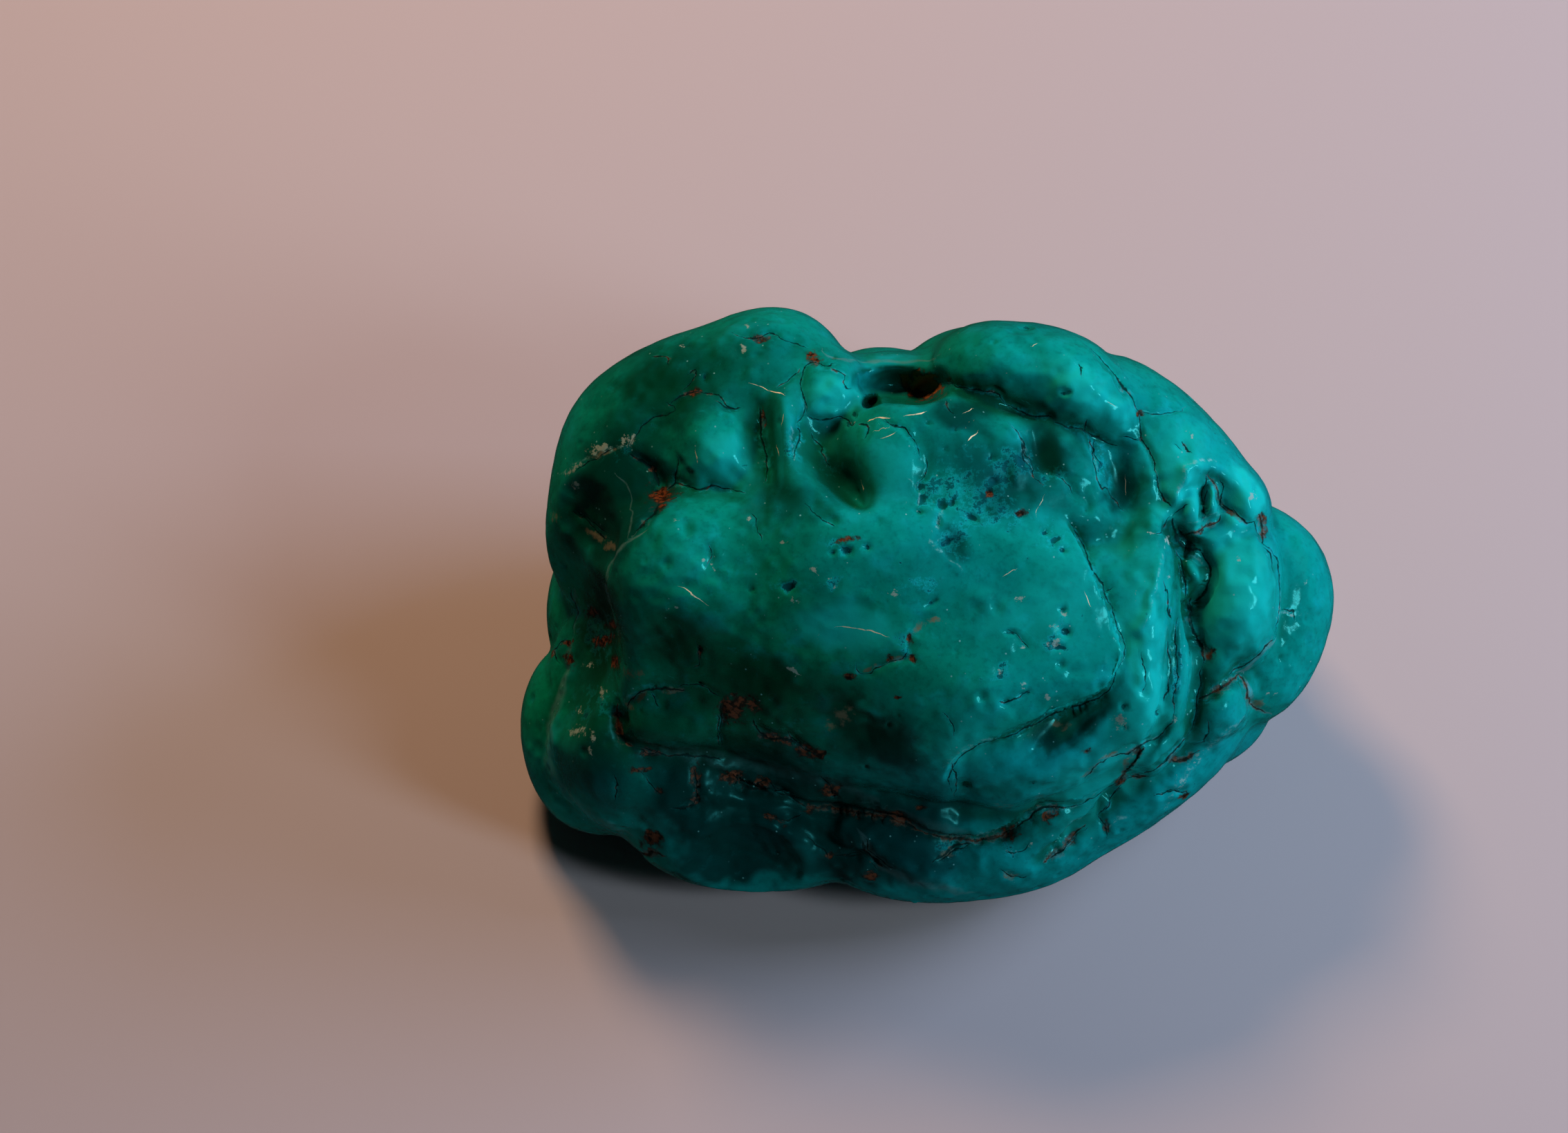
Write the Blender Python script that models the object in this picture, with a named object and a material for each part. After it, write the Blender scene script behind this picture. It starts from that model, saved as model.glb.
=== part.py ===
"""Turquoise nugget: one natural stone, water-worn and polished, resting on its worn underside.

The stone is described as a body of swellings that grew into each other. Each swelling is a lobe, the
broad slab in front is a block of worn faces, and hollows, ledges and seams are taken out of the sum.
Everything is laid out in the stone's face frame, in millimetres: u runs across the broad face, v up
the face and w straight out of it. The face leans back by FACE_LEAN, which sets the stone on its base.
An icosphere is drawn onto the resulting surface, thinned to STONE_FACES and cut flat underneath.
"""

import math
from collections import namedtuple

import bmesh
import bpy
import numpy as np

MM = 0.001
FACE_LEAN = math.radians(30)  # the broad face is tipped this far from level, towards the front
CENTRE_HEIGHT = 22.5  # the face frame's origin stands this far above the surface it rests on
REST_FLAT_DEPTH = 0.5  # how far under the resting plane the worn underside would reach, uncut
REST_BLEND = 5.0  # roundness of the edge where the sides turn in to the underside
START_RADIUS = 48.0  # a ball that clears the whole stone
INWARD_STEPS = 40
BALL_SUBDIVISIONS = 6
SETTLE_ROUNDS = 36
PROBE = 0.05  # how far apart the surface's slope is measured
STONE_FACES = 9300
WELD = 2e-5  # points nearer than this, in metres, become one

Lobe = namedtuple("Lobe", "name centre radii spin power blend")
Face = namedtuple("Face", "point normal")
Scoop = namedtuple("Scoop", "name point facing radius blend")
Ledge = namedtuple("Ledge", "name path window drop reach edge")

# The hidden bulk that the visible lobes grow from.
BULK = (
    Lobe("core", (0, -1, -8), (32, 25, 15), 0, 2.2, 0.0),
    Lobe("bulk left", (-19, 8, -10), (17, 17, 14), 0, 2.2, 3.0),
    Lobe("bulk right", (17, 5, -9), (16, 16, 12), 0, 2.2, 3.0),
    Lobe("underside", (-2, 1.5, -10), (28, 21, 17.5), 0, 2.2, 2.0),
    Lobe("rear left", (-20, 10, -15), (12, 10, 10), 12, 2.2, 2.0),
    Lobe("rear middle", (3, 12, -15), (13, 11, 10), -8, 2.2, 2.0),
    Lobe("rear right", (20, 8, -13), (11, 10, 10), -30, 2.2, 2.0),
    Lobe("under right", (25, -9, -9), (9, 8, 8), 25, 2.2, 2.0),
)
# Upper left: the tall shoulder with its round bump and the lips of the grooves beside it.
SHOULDER = (
    Lobe("shoulder", (-21.5, 13, -2), (14.5, 13.2, 12), 25, 2.3, 2.5),
    Lobe("shoulder peak", (-15, 19, -2), (8, 9.7, 11.5), 0, 2.1, 2.5),
    Lobe("shoulder flank", (-28, 7, -3), (9.2, 10, 11), 0, 2.1, 2.5),
    Lobe("round bump", (-20.6, 14.7, 5.4), (4.9, 5.5, 7.6), 8, 2.0, 1.0),
    Lobe("groove lip", (-13.8, 14, 6.5), (2.6, 7.5, 7), 4, 2.0, 1.2),
    Lobe("hole shoulder", (-10.4, 19.3, 3.5), (4.5, 5.0, 8), -15, 2.0, 1.2),
    Lobe("round knuckle", (-3.8, 13.2, 7.0), (4.6, 5.4, 8), 0, 2.0, 1.5),
)
# The broad slab that faces out, as the worn faces of one block.
SLAB_FACES = (
    Face((-22, 3, 15.0), (-0.14, 0.05, 1)),
    Face((0, 2, 17.2), (0.06, 0.05, 1)),
    Face((14, 0, 15.8), (0.22, 0.00, 1)),
    Face((0, 8, 16.6), (0.02, 0.42, 1)),
    Face((-8, -8.5, 15.1), (-0.24, -0.48, 0.85)),
    Face((-20, -5.5, 14.0), (-0.18, -0.40, 0.88)),
    Face((-6, -15, 11.0), (-0.25, -0.80, 0.55)),
    Face((10, -14, 13.2), (0.22, -0.55, 0.80)),
    Face((-31, 1, 8), (-1, 0.12, 0.30)),
    Face((-29.9, -9, 7), (-1, -0.05, 0.22)),
    Face((-28.6, -13.2, 5), (-0.62, -0.78, 0.12)),
    Face((-15, -16.3, 5), (-0.22, -0.97, 0.12)),
    Face((-3, -19.4, 4), (-0.26, -0.96, 0.12)),
    Face((6, -21.4, 4), (0.10, -0.99, 0.12)),
    Face((15, -18, 4), (0.50, -0.86, 0.15)),
    Face((22.7, -3, 6), (1, -0.06, 0.25)),
    Face((-10, 12, 8), (-0.16, 1, 0.5)),
    Face((12, 10.5, 8), (0.35, 1, 0.6)),
    Face((0, 0, -8), (0, 0, -1)),
)
SLAB_ROUNDNESS = 2.6
SLAB_BLEND = 0.8
SLAB_SWELLINGS = (
    Lobe("slab left", (-22.5, 3.5, 7.0), (9.0, 7.5, 9.8), 8, 2.3, 2.0),
    Lobe("slab middle", (-8, 4, 8.5), (11, 8, 9.2), -10, 2.3, 3.0),
    Lobe("corner block", (-24.6, -11.0, 1.4), (5.0, 3.3, 7.0), 0, 2.6, 1.6),
)
# Above the slab: the sunken shelf, the curled roll along the top and the saddle behind the trench.
UPPER = (
    Lobe("shelf left", (-12, 9, 4), (8, 7, 10), 0, 2.2, 3.0),
    Lobe("shelf middle", (3.0, 12.3, 4.6), (10.5, 8.0, 9.6), -22, 2.8, 3.5),
    Lobe("shelf right", (13, 10.5, 2.5), (9.5, 7, 10), -35, 2.4, 3.0),
    Lobe("roll start", (6.9, 22.2, 3.6), (6.9, 4.9, 9.2), -6, 2.0, 0.6),
    Lobe("roll middle", (13.2, 20.6, 3.8), (7.2, 5.0, 9.4), -36, 2.0, 2.0),
    Lobe("roll end", (17.0, 18.4, 2.8), (4, 4.2, 8.6), -50, 2.0, 1.5),
    Lobe("roll back", (9, 17.6, -4), (13, 8.8, 12), -18, 2.1, 1.5),
    Lobe("low back", (-4.5, 18, -12), (9, 7.2, 9), 0, 2.0, 1.5),
    Lobe("saddle", (-3.5, 20.5, -1), (8.5, 3.9, 7.5), 0, 2.0, 1.0),
)
# The right end: the long flank, two upright folds, and the cluster of knobs out to the tip.
RIGHT_END = (
    Lobe("upper flank", (21.5, 12.5, -0.9), (13.5, 7.8, 11.2), -47, 2.3, 1.0),
    Lobe("upper flank back", (19, 15, -8), (11, 7.3, 8), -42, 2.2, 1.0),
    Lobe("inner fold", (19.2, -2.5, 5.6), (4.2, 12.5, 9), -5, 2.3, 1.0),
    Lobe("outer fold", (22.6, -4.5, 3), (3.0, 10.0, 8.4), -3, 2.3, 0.6),
    Lobe("fold tail", (21.3, -14.2, 2.5), (4.8, 1.9, 6), 42, 2.0, 0.8),
    Lobe("big knob", (29, 0.9, 0), (5.0, 7.8, 9.2), -3, 2.1, 0.6),
    Lobe("tip", (28.6, -1, -5.5), (10.5, 11.5, 9), -20, 2.2, 0.7),
    Lobe("curled rim", (28.0, 10.0, 1), (5.0, 4.0, 7.8), -30, 2.0, 0.8),
    Lobe("small knob", (24.7, 3.2, 4.5), (1.9, 2.7, 5), 20, 2.0, 0.5),
    Lobe("wedge", (27, -9.8, -1), (5.0, 3.2, 6.5), 38, 2.0, 0.6),
)
# Under the slab: the big left foot, the lobes behind it, the belly and the slanting layers.
FOOT = (
    Lobe("left foot", (-30.5, -11, -4.5), (6.4, 11, 9.5), 10, 2.2, 0.9),
    Lobe("left toe", (-25, -15.8, -4.0), (10, 6.5, 8.5), -14, 2.3, 1.5),
    Lobe("left back high", (-31.5, -1, -12), (6.0, 9, 8), 0, 2.0, 0.8),
    Lobe("left back low", (-32, -13, -10), (7.9, 10, 8), 8, 2.1, 0.8),
    Lobe("left back toe", (-26, -18, -9), (8.5, 6.2, 8), -25, 2.1, 0.8),
    Lobe("belly", (3, -19, -4.5), (16, 10, 9.5), 4, 2.3, 1.0),
    Lobe("belly left", (-17, -18.9, -6), (13, 9.2, 8.5), -3, 2.4, 1.2),
    Lobe("layer high", (14, -15.2, -1), (13, 6.2, 8), 37, 2.3, 0.7),
    Lobe("layer low", (18.6, -14.8, -4.5), (15, 7.4, 8), 36, 2.3, 0.7),
)
# A ball of the radius, pressed in as far as the point from the side that it faces.
SCOOPS = (
    Scoop("flank scoop", (-31.2, 9.2, 6.4), (-0.75, -0.30, 0.60), 8, 0.9),
    Scoop("flank channel", (-33.0, 1.0, 0.5), (-0.80, -0.35, 0.50), 14, 1.5),
    Scoop("belly scoop", (-17.7, -23.6, -0.5), (-0.15, -0.75, 0.60), 7, 0.8),
    Scoop("slab dish", (-5.2, -11.8, 12.6), (-0.50, -0.45, 0.74), 12, 1.6),
    Scoop("knob bowl", (26.3, 10.0, 6.6), (0.15, -0.15, 0.97), 4.6, 0.6),
    Scoop("rear scoop", (-6, 21, -17), (-0.2, 0.75, -0.6), 14, 2.0),
    Scoop("rear hollow", (17, 14, -17), (0.3, 0.6, -0.7), 9, 1.5),
)
# Slots and hollows with steep sides, as lobes taken away.
HOLLOWS = (
    Lobe("trench", (-2.9, 21.1, 11), (4.5, 2.2, 9.5), -4, 2.3, 0.9),
    Lobe("pointed hollow", (-9.3, 13.0, 15.2), (1.9, 5.4, 4.8), 38, 2.0, 1.0),
    Lobe("shelf slot", (9.9, 14.8, 14.2), (1.5, 3.2, 3.6), 12, 2.0, 1.6),
    Lobe("shelf hollow", (17.7, 11.8, 13.2), (1.9, 4.4, 4.6), 10, 2.0, 1.3),
    Lobe("bump groove", (-15.9, 14.8, 13.5), (1.0, 5.2, 3.8), 2, 2.2, 1.0),
    Lobe("leaf hollow", (10.0, -13.0, 15.5), (1.0, 2.8, 3.5), -35, 2.0, 1.0),
)
# Slivers that stand in the hollow between the curled rim and the folds.
SLIVERS = (
    Lobe("wide sliver", (24.3, 9.6, 4.2), (2.1, 3.4, 5.0), 12, 2.3, 0.3),
    Lobe("thin sliver", (26.6, 10.1, 4.0), (1.0, 2.5, 4.8), -6, 2.3, 0.3),
)
# A layer that ends: outside its edge, to the left of the path, the surface drops and climbs back over
# the reach. It holds inside a window of u0, v0, u1, v1 and fades over LEDGE_FADE at the window's sides.
LEDGES = (
    Ledge(
        "plate edge",
        (
            (10.6, 14), (12.2, 8.6), (13.6, 6.2), (14.6, 4.3), (16, 1), (17.3, -2), (17.8, -4.5), (16.4, -8),
            (14, -9.6), (11, -10.6), (8.5, -11.7), (3.5, -13.6), (1, -16), (-1.5, -18.5),
        ),
        (0.5, -30, 30, 8.5), 1.4, 6.0, 1.1,
    ),
    Ledge(
        "rim layer",
        (
            (25, -6), (23, -10), (20.5, -14), (18, -17), (14, -19.2), (10, -20), (7, -21.8), (3.5, -22.8),
            (0, -22.2), (-3, -21), (-7, -20), (-13, -19), (-17.5, -17.7), (-20, -16.2), (-25, -14),
        ),
        (-22, -30, 22, -11), 0.9, 3.0, 1.1,
    ),
)
LEDGE_FADE = 3.0
LEDGE_SPAN = 12.0
FACE_SIDE = -2.0  # ledges are drawn on the face, and only mark what lies above this w


def smooth_low(a, b, blend):
    """The lower of two distances, rounded where they cross."""
    if blend <= 0:
        return np.minimum(a, b)
    h = np.maximum(blend - np.abs(a - b), 0) / blend
    return np.minimum(a, b) - h * h * blend / 4


def smooth_high(a, b, blend):
    """The higher of two distances, rounded where they cross."""
    return -smooth_low(-a, -b, blend)


def ease(x):
    """0 below 0, 1 above 1 and a smooth step between."""
    x = np.clip(x, 0, 1)
    return x * x * (3 - 2 * x)


def lobe_distance(points, lobe):
    """Distance to a lobe: an ellipsoid for power 2, squarer above, turned by spin in the face."""
    spin = math.radians(lobe.spin)
    shifted = points - np.array(lobe.centre)
    along = shifted[:, 0] * math.cos(spin) + shifted[:, 1] * math.sin(spin)
    across = shifted[:, 1] * math.cos(spin) - shifted[:, 0] * math.sin(spin)
    scaled = np.abs(np.stack([along, across, shifted[:, 2]], axis=1) / np.array(lobe.radii)) + 1e-9
    size = (scaled**lobe.power).sum(axis=1) ** (1 / lobe.power)
    slope = scaled ** (lobe.power - 1) / np.array(lobe.radii) * (size ** (1 - lobe.power))[:, None]
    return (size - 1) / np.sqrt((slope * slope).sum(axis=1))


def block_distance(points, faces, roundness):
    """Distance to a block bounded by flat faces, with its edges worn round."""
    distance = None
    for face in faces:
        normal = np.array(face.normal) / np.linalg.norm(face.normal)
        step = (points - np.array(face.point)) @ normal
        distance = step if distance is None else smooth_high(distance, step, roundness)
    return distance


def scoop_distance(points, scoop):
    facing = np.array(scoop.facing) / np.linalg.norm(scoop.facing)
    centre = np.array(scoop.point) + facing * scoop.radius
    return np.linalg.norm(points - centre, axis=1) - scoop.radius


def rounded_path(path, pieces=3):
    """The path with its corners rounded: a Catmull-Rom curve through its points."""
    path = np.array(path, float)
    ends = np.concatenate([[2 * path[0] - path[1]], path, [2 * path[-1] - path[-2]]])
    before, start, end, after = ends[:-3], ends[1:-2], ends[2:-1], ends[3:]
    curve = []
    for t in np.arange(pieces) / pieces:
        bend = (2 * before - 5 * start + 4 * end - after) * t**2
        twist = (3 * start - before - 3 * end + after) * t**3
        curve.append((2 * start + (end - before) * t + bend + twist) / 2)
    return np.concatenate([np.stack(curve, axis=1).reshape(-1, 2), path[-1:]])


def beside_path(points, path):
    """Signed distance across a path drawn on the face, positive to its left."""
    path = rounded_path(path)
    nearest = np.full(len(points), 1e9)
    for start, run in zip(path, np.diff(path, axis=0)):
        offset = points[:, :2] - start
        share = np.clip(offset @ run / (run @ run), 0, 1)
        gap = np.linalg.norm(offset - share[:, None] * run, axis=1)
        side = np.where(run[0] * offset[:, 1] - run[1] * offset[:, 0] > 0, 1.0, -1.0)
        nearest = np.where(gap < np.abs(nearest), gap * side, nearest)
    return nearest


def ledge_drop(points, ledge):
    aside = beside_path(points, ledge.path)
    left, low, right, high = ledge.window
    inside = ease((points[:, 0] - left) / LEDGE_FADE) * ease((right - points[:, 0]) / LEDGE_FADE)
    inside *= ease((points[:, 1] - low) / LEDGE_FADE) * ease((high - points[:, 1]) / LEDGE_FADE)
    step = ease(aside / ledge.edge + 0.5) * np.exp(-np.maximum(aside, 0) / ledge.reach)
    return ledge.drop * inside * step * ease((LEDGE_SPAN - np.abs(aside)) / 4)


def stone_distance(points):
    """Signed distance to the stone's surface, roughly, for points in the face frame."""
    distance = None
    for lobe in BULK + SHOULDER:
        step = lobe_distance(points, lobe)
        distance = step if distance is None else smooth_low(distance, step, lobe.blend)
    slab = block_distance(points, SLAB_FACES, SLAB_ROUNDNESS)
    distance = smooth_low(distance, slab, SLAB_BLEND)
    for lobe in SLAB_SWELLINGS + UPPER + RIGHT_END + FOOT:
        distance = smooth_low(distance, lobe_distance(points, lobe), lobe.blend)
    for scoop in SCOOPS:
        distance = smooth_high(distance, -scoop_distance(points, scoop), scoop.blend)
    for lobe in HOLLOWS:
        distance = smooth_high(distance, -lobe_distance(points, lobe), lobe.blend)
    for lobe in SLIVERS:
        distance = smooth_low(distance, lobe_distance(points, lobe), lobe.blend)
    above = points[:, 2] > FACE_SIDE
    for ledge in LEDGES:
        distance[above] += ledge_drop(points[above], ledge)
    underside = -REST_FLAT_DEPTH - height_above_rest(points)
    return smooth_high(distance, underside, REST_BLEND)


def height_above_rest(points):
    return points[:, 1] * math.sin(FACE_LEAN) + points[:, 2] * math.cos(FACE_LEAN) + CENTRE_HEIGHT


def stand(points):
    """Face frame in millimetres to the stone as it rests, in metres."""
    back = points[:, 1] * math.cos(FACE_LEAN) - points[:, 2] * math.sin(FACE_LEAN)
    return np.stack([points[:, 0], back, height_above_rest(points)], axis=1) * MM


def draw_onto_stone(directions):
    """The point where each ray towards the centre first meets the surface."""
    reach = np.full(len(directions), START_RADIUS)
    for _ in range(INWARD_STEPS):
        reach = reach - 0.8 * stone_distance(directions * reach[:, None])
    return directions * reach[:, None]


def outward(points):
    """Distance at each point, and the unit direction in which it grows."""
    here = stone_distance(points)
    steps = [stone_distance(points + step) - here for step in np.eye(3) * PROBE]
    slope = np.stack(steps, axis=1)
    return here, slope / (np.linalg.norm(slope, axis=1)[:, None] + 1e-9)


def settle(points, edges):
    """Spreads the points evenly over the surface, in under its overhangs as well."""
    shares = np.bincount(edges.ravel(), minlength=len(points))[:, None]
    for _ in range(SETTLE_ROUNDS):
        pull = np.zeros_like(points)
        np.add.at(pull, edges[:, 0], points[edges[:, 1]])
        np.add.at(pull, edges[:, 1], points[edges[:, 0]])
        drift = 0.6 * (pull / shares - points)
        here, normal = outward(points)
        drift -= (drift * normal).sum(axis=1)[:, None] * normal
        points = points + drift - np.clip(here, -1, 1)[:, None] * normal
    here, normal = outward(points)
    return points - here[:, None] * normal


def draw_ball(name):
    """An icosphere with its points drawn in onto the stone's surface."""
    form = bmesh.new()
    bmesh.ops.create_icosphere(form, subdivisions=BALL_SUBDIVISIONS, radius=1)
    edges = np.array([[vert.index for vert in edge.verts] for edge in form.edges])
    points = draw_onto_stone(np.array([vert.co for vert in form.verts]))
    points = stand(settle(points, edges))
    for vert, point in zip(form.verts, points):
        vert.co = point
    mesh = bpy.data.meshes.new(name)
    form.to_mesh(mesh)
    form.free()
    return mesh


def thinned(stone):
    """The stone's mesh brought down to STONE_FACES, fewest where it is plain."""
    thinning = stone.modifiers.new("thinning", "DECIMATE")
    thinning.ratio = STONE_FACES / len(stone.data.polygons)
    view = bpy.context.evaluated_depsgraph_get()
    mesh = bpy.data.meshes.new_from_object(stone.evaluated_get(view))
    stone.modifiers.remove(thinning)
    return mesh


def cut_underside(form):
    """Takes away what lies under the resting plane and closes the stone with one flat face."""
    everything = form.verts[:] + form.edges[:] + form.faces[:]
    cut = bmesh.ops.bisect_plane(form, geom=everything, plane_no=(0, 0, 1), clear_inner=True)
    rim = [item for item in cut["geom_cut"] if isinstance(item, bmesh.types.BMEdge)]
    bmesh.ops.holes_fill(form, edges=rim, sides=0)
    bmesh.ops.remove_doubles(form, verts=form.verts, dist=WELD)
    bmesh.ops.triangulate(form, faces=form.faces)
    bmesh.ops.recalc_face_normals(form, faces=form.faces)


def centre_on_base(form):
    """Moves the stone sideways so that its outline is centred on the origin."""
    across = [vert.co.x for vert in form.verts]
    deep = [vert.co.y for vert in form.verts]
    middle = ((min(across) + max(across)) / 2, (min(deep) + max(deep)) / 2, 0)
    for vert in form.verts:
        vert.co.x -= middle[0]
        vert.co.y -= middle[1]


def turquoise():
    """Polished turquoise: opaque blue-green with a soft wax shine."""
    material = bpy.data.materials.new("turquoise")
    material.use_nodes = True
    surface = material.node_tree.nodes["Principled BSDF"]
    surface.inputs["Base Color"].default_value = (0.004, 0.26, 0.23, 1)
    surface.inputs["Roughness"].default_value = 0.32
    surface.inputs["Metallic"].default_value = 0
    material.diffuse_color = (0.004, 0.26, 0.23, 1)
    return material


def main():
    for item in list(bpy.data.objects):
        bpy.data.objects.remove(item, do_unlink=True)
    nugget = bpy.data.collections.new("turquoise_nugget")
    bpy.context.scene.collection.children.link(nugget)

    stone = bpy.data.objects.new("turquoise_nugget", draw_ball("turquoise_nugget"))
    nugget.objects.link(stone)
    stone.data = thinned(stone)
    form = bmesh.new()
    form.from_mesh(stone.data)
    cut_underside(form)
    centre_on_base(form)
    form.to_mesh(stone.data)
    form.free()
    stone.data.materials.append(turquoise())
    stone.data.shade_smooth()


if __name__ == "__main__":
    main()
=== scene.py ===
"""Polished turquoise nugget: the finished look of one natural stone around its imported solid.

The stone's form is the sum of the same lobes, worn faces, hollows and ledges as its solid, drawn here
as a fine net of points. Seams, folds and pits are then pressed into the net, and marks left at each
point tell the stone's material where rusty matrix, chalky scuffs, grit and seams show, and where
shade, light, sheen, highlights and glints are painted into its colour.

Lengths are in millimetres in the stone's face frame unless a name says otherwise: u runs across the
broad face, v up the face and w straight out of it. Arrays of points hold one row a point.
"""

from __future__ import annotations

import logging
import math
from collections.abc import Sequence
from dataclasses import dataclass, field
from enum import Enum, IntEnum

import bpy
import numpy as np
from mathutils import Matrix, Vector


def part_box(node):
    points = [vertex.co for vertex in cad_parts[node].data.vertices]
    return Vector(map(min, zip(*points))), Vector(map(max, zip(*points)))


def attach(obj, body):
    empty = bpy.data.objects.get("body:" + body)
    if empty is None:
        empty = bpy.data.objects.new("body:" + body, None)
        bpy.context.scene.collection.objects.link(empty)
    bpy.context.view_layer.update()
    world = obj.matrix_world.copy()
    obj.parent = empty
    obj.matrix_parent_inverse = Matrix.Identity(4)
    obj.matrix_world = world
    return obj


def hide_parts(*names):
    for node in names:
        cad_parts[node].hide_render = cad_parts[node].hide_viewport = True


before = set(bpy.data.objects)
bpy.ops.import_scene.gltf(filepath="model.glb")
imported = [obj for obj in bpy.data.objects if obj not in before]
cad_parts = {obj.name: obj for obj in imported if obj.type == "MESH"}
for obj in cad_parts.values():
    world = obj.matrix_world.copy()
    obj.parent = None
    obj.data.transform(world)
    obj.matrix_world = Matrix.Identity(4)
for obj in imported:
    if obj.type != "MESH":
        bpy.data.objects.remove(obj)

LOG = logging.getLogger("turquoise_nugget")
MM = 0.001
NODE = "turquoise_nugget"
BODY = "root"
FAR = 1e6

Array = np.ndarray
Socket = bpy.types.NodeSocket
Pair = tuple[float, float]
Triple = tuple[float, float, float]
Path = tuple[float, ...]


# Small shapes of curves


def ease(share: Array) -> Array:
    """A smooth step from 0 at 0 to 1 at 1.

    Args:
        share: Any numbers.

    Returns:
        The eased numbers, from 0 to 1.
    """
    share = np.clip(share, 0, 1)
    return share * share * (3 - 2 * share)


def smooth_low(first: Array, second: Array, blend: float) -> Array:
    """The lower of two distances, rounded where they cross.

    Args:
        first: One distance at each point.
        second: The other distance at each point.
        blend: How far apart the two may be and still be rounded together.

    Returns:
        The joined distance at each point.
    """
    if blend <= 0:
        return np.minimum(first, second)
    overlap = np.maximum(blend - np.abs(first - second), 0) / blend
    return np.minimum(first, second) - overlap * overlap * blend / 4


def smooth_high(first: Array, second: Array, blend: float) -> Array:
    """The higher of two distances, rounded where they cross.

    Args:
        first: One distance at each point.
        second: The other distance at each point.
        blend: How far apart the two may be and still be rounded together.

    Returns:
        The joined distance at each point.
    """
    return -smooth_low(-first, -second, blend)


def rounded_path(path: Path, pieces: int = 3) -> Array:
    """A path with its corners rounded, as a Catmull-Rom curve through its points.

    Args:
        path: The u and v of each point that the curve goes through, in turn.
        pieces: How many straight runs replace each run of the path.

    Returns:
        The points along the curve.
    """
    path = np.array(path, float).reshape(-1, 2)
    ends = np.concatenate([[2 * path[0] - path[1]], path, [2 * path[-1] - path[-2]]])
    before, start, end, after = ends[:-3], ends[1:-2], ends[2:-1], ends[3:]
    curve = []
    for share in np.arange(pieces) / pieces:
        bend = (2 * before - 5 * start + 4 * end - after) * share**2
        twist = (3 * start - before - 3 * end + after) * share**3
        curve.append((2 * start + (end - before) * share + bend + twist) / 2)
    return np.concatenate([np.stack(curve, axis=1).reshape(-1, 2), path[-1:]])


def beside_path(places: Array, path: Path) -> tuple[Array, Array]:
    """Where points on the face lie beside a path drawn on it.

    Args:
        places: The u and v of each point.
        path: The u and v of each point of the path, in turn.

    Returns:
        The signed distance across the path, positive to its left, and how far along it each point
        lies, from 0 to 1.
    """
    curve = rounded_path(path)
    runs = np.diff(curve, axis=0)
    lengths = np.linalg.norm(runs, axis=1)
    starts = np.concatenate([[0], np.cumsum(lengths)])
    aside = np.full(len(places), FAR)
    along = np.zeros(len(places))
    for start, run, length, before in zip(curve, runs, lengths, starts):
        offset = places - start
        share = np.clip(offset @ run / length**2, 0, 1)
        gap = np.linalg.norm(offset - share[:, None] * run, axis=1)
        side = np.where(run[0] * offset[:, 1] - run[1] * offset[:, 0] > 0, 1.0, -1.0)
        closer = gap < np.abs(aside)
        aside = np.where(closer, gap * side, aside)
        along = np.where(closer, (before + share * length) / starts[-1], along)
    return aside, along


class Pattern(IntEnum):
    """Which random pattern is drawn: its value is the pattern's seed."""

    WANDER = 31
    FINE_WANDER = 41
    TONE = 51
    FINE_TONE = 52
    LINE_WIDTH = 61
    VEIN = 71
    FINE_VEIN = 72
    VEIN_OPENING = 73
    VEIN_FILL = 74
    HIDDEN_GRIT = 84


def value_noise(points: Array, size: float, seed: int) -> Array:
    """Smooth random values that change over a given size.

    Args:
        points: The points.
        size: The width of one swelling of the noise.
        seed: Picks one of many patterns.

    Returns:
        A value from -1 to 1 at each point.
    """
    scaled = points / size + seed * 17.31
    cell = np.floor(scaled).astype(np.int64)
    share = ease(scaled - cell)
    total = np.zeros(len(points))
    for corner in np.ndindex(2, 2, 2):
        mixed = (cell + corner) @ np.array([73856093, 19349663, 83492791]) + seed * 6971
        mixed = (mixed ^ (mixed >> 13)) * 1274126177 & 0x7FFFFFFF
        mixed = (mixed ^ (mixed >> 15)) & 0xFFFF
        weight = np.prod(np.where(np.array(corner) > 0, share, 1 - share), axis=1)
        total += weight * (mixed / 0x7FFF - 1)
    return total


# The stone's form


@dataclass(frozen=True)
class FaceFrame:
    """The stone's own frame: its broad face leans back, and its middle stands over what it rests on."""

    lean: float = math.radians(30)
    centre_height: float = 22.5

    def height(self, points: Array) -> Array:
        """How far each point of the face frame is above the surface that the stone rests on."""
        return points[:, 1] * math.sin(self.lean) + points[:, 2] * math.cos(self.lean) + self.centre_height

    def stand(self, points: Array) -> Array:
        """Face frame in millimetres to the stone as it rests, in metres."""
        back = points[:, 1] * math.cos(self.lean) - points[:, 2] * math.sin(self.lean)
        return np.stack([points[:, 0], back, self.height(points)], axis=1) * MM

    def lay(self, points: Array) -> Array:
        """The stone as it rests, in metres, to the face frame in millimetres.

        Args:
            points: Points of the resting stone.

        Returns:
            The same points in the face frame.
        """
        back, high = points[:, 1] / MM, points[:, 2] / MM - self.centre_height
        cos, sin = math.cos(self.lean), math.sin(self.lean)
        return np.stack([points[:, 0] / MM, back * cos + high * sin, high * cos - back * sin], axis=1)


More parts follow.
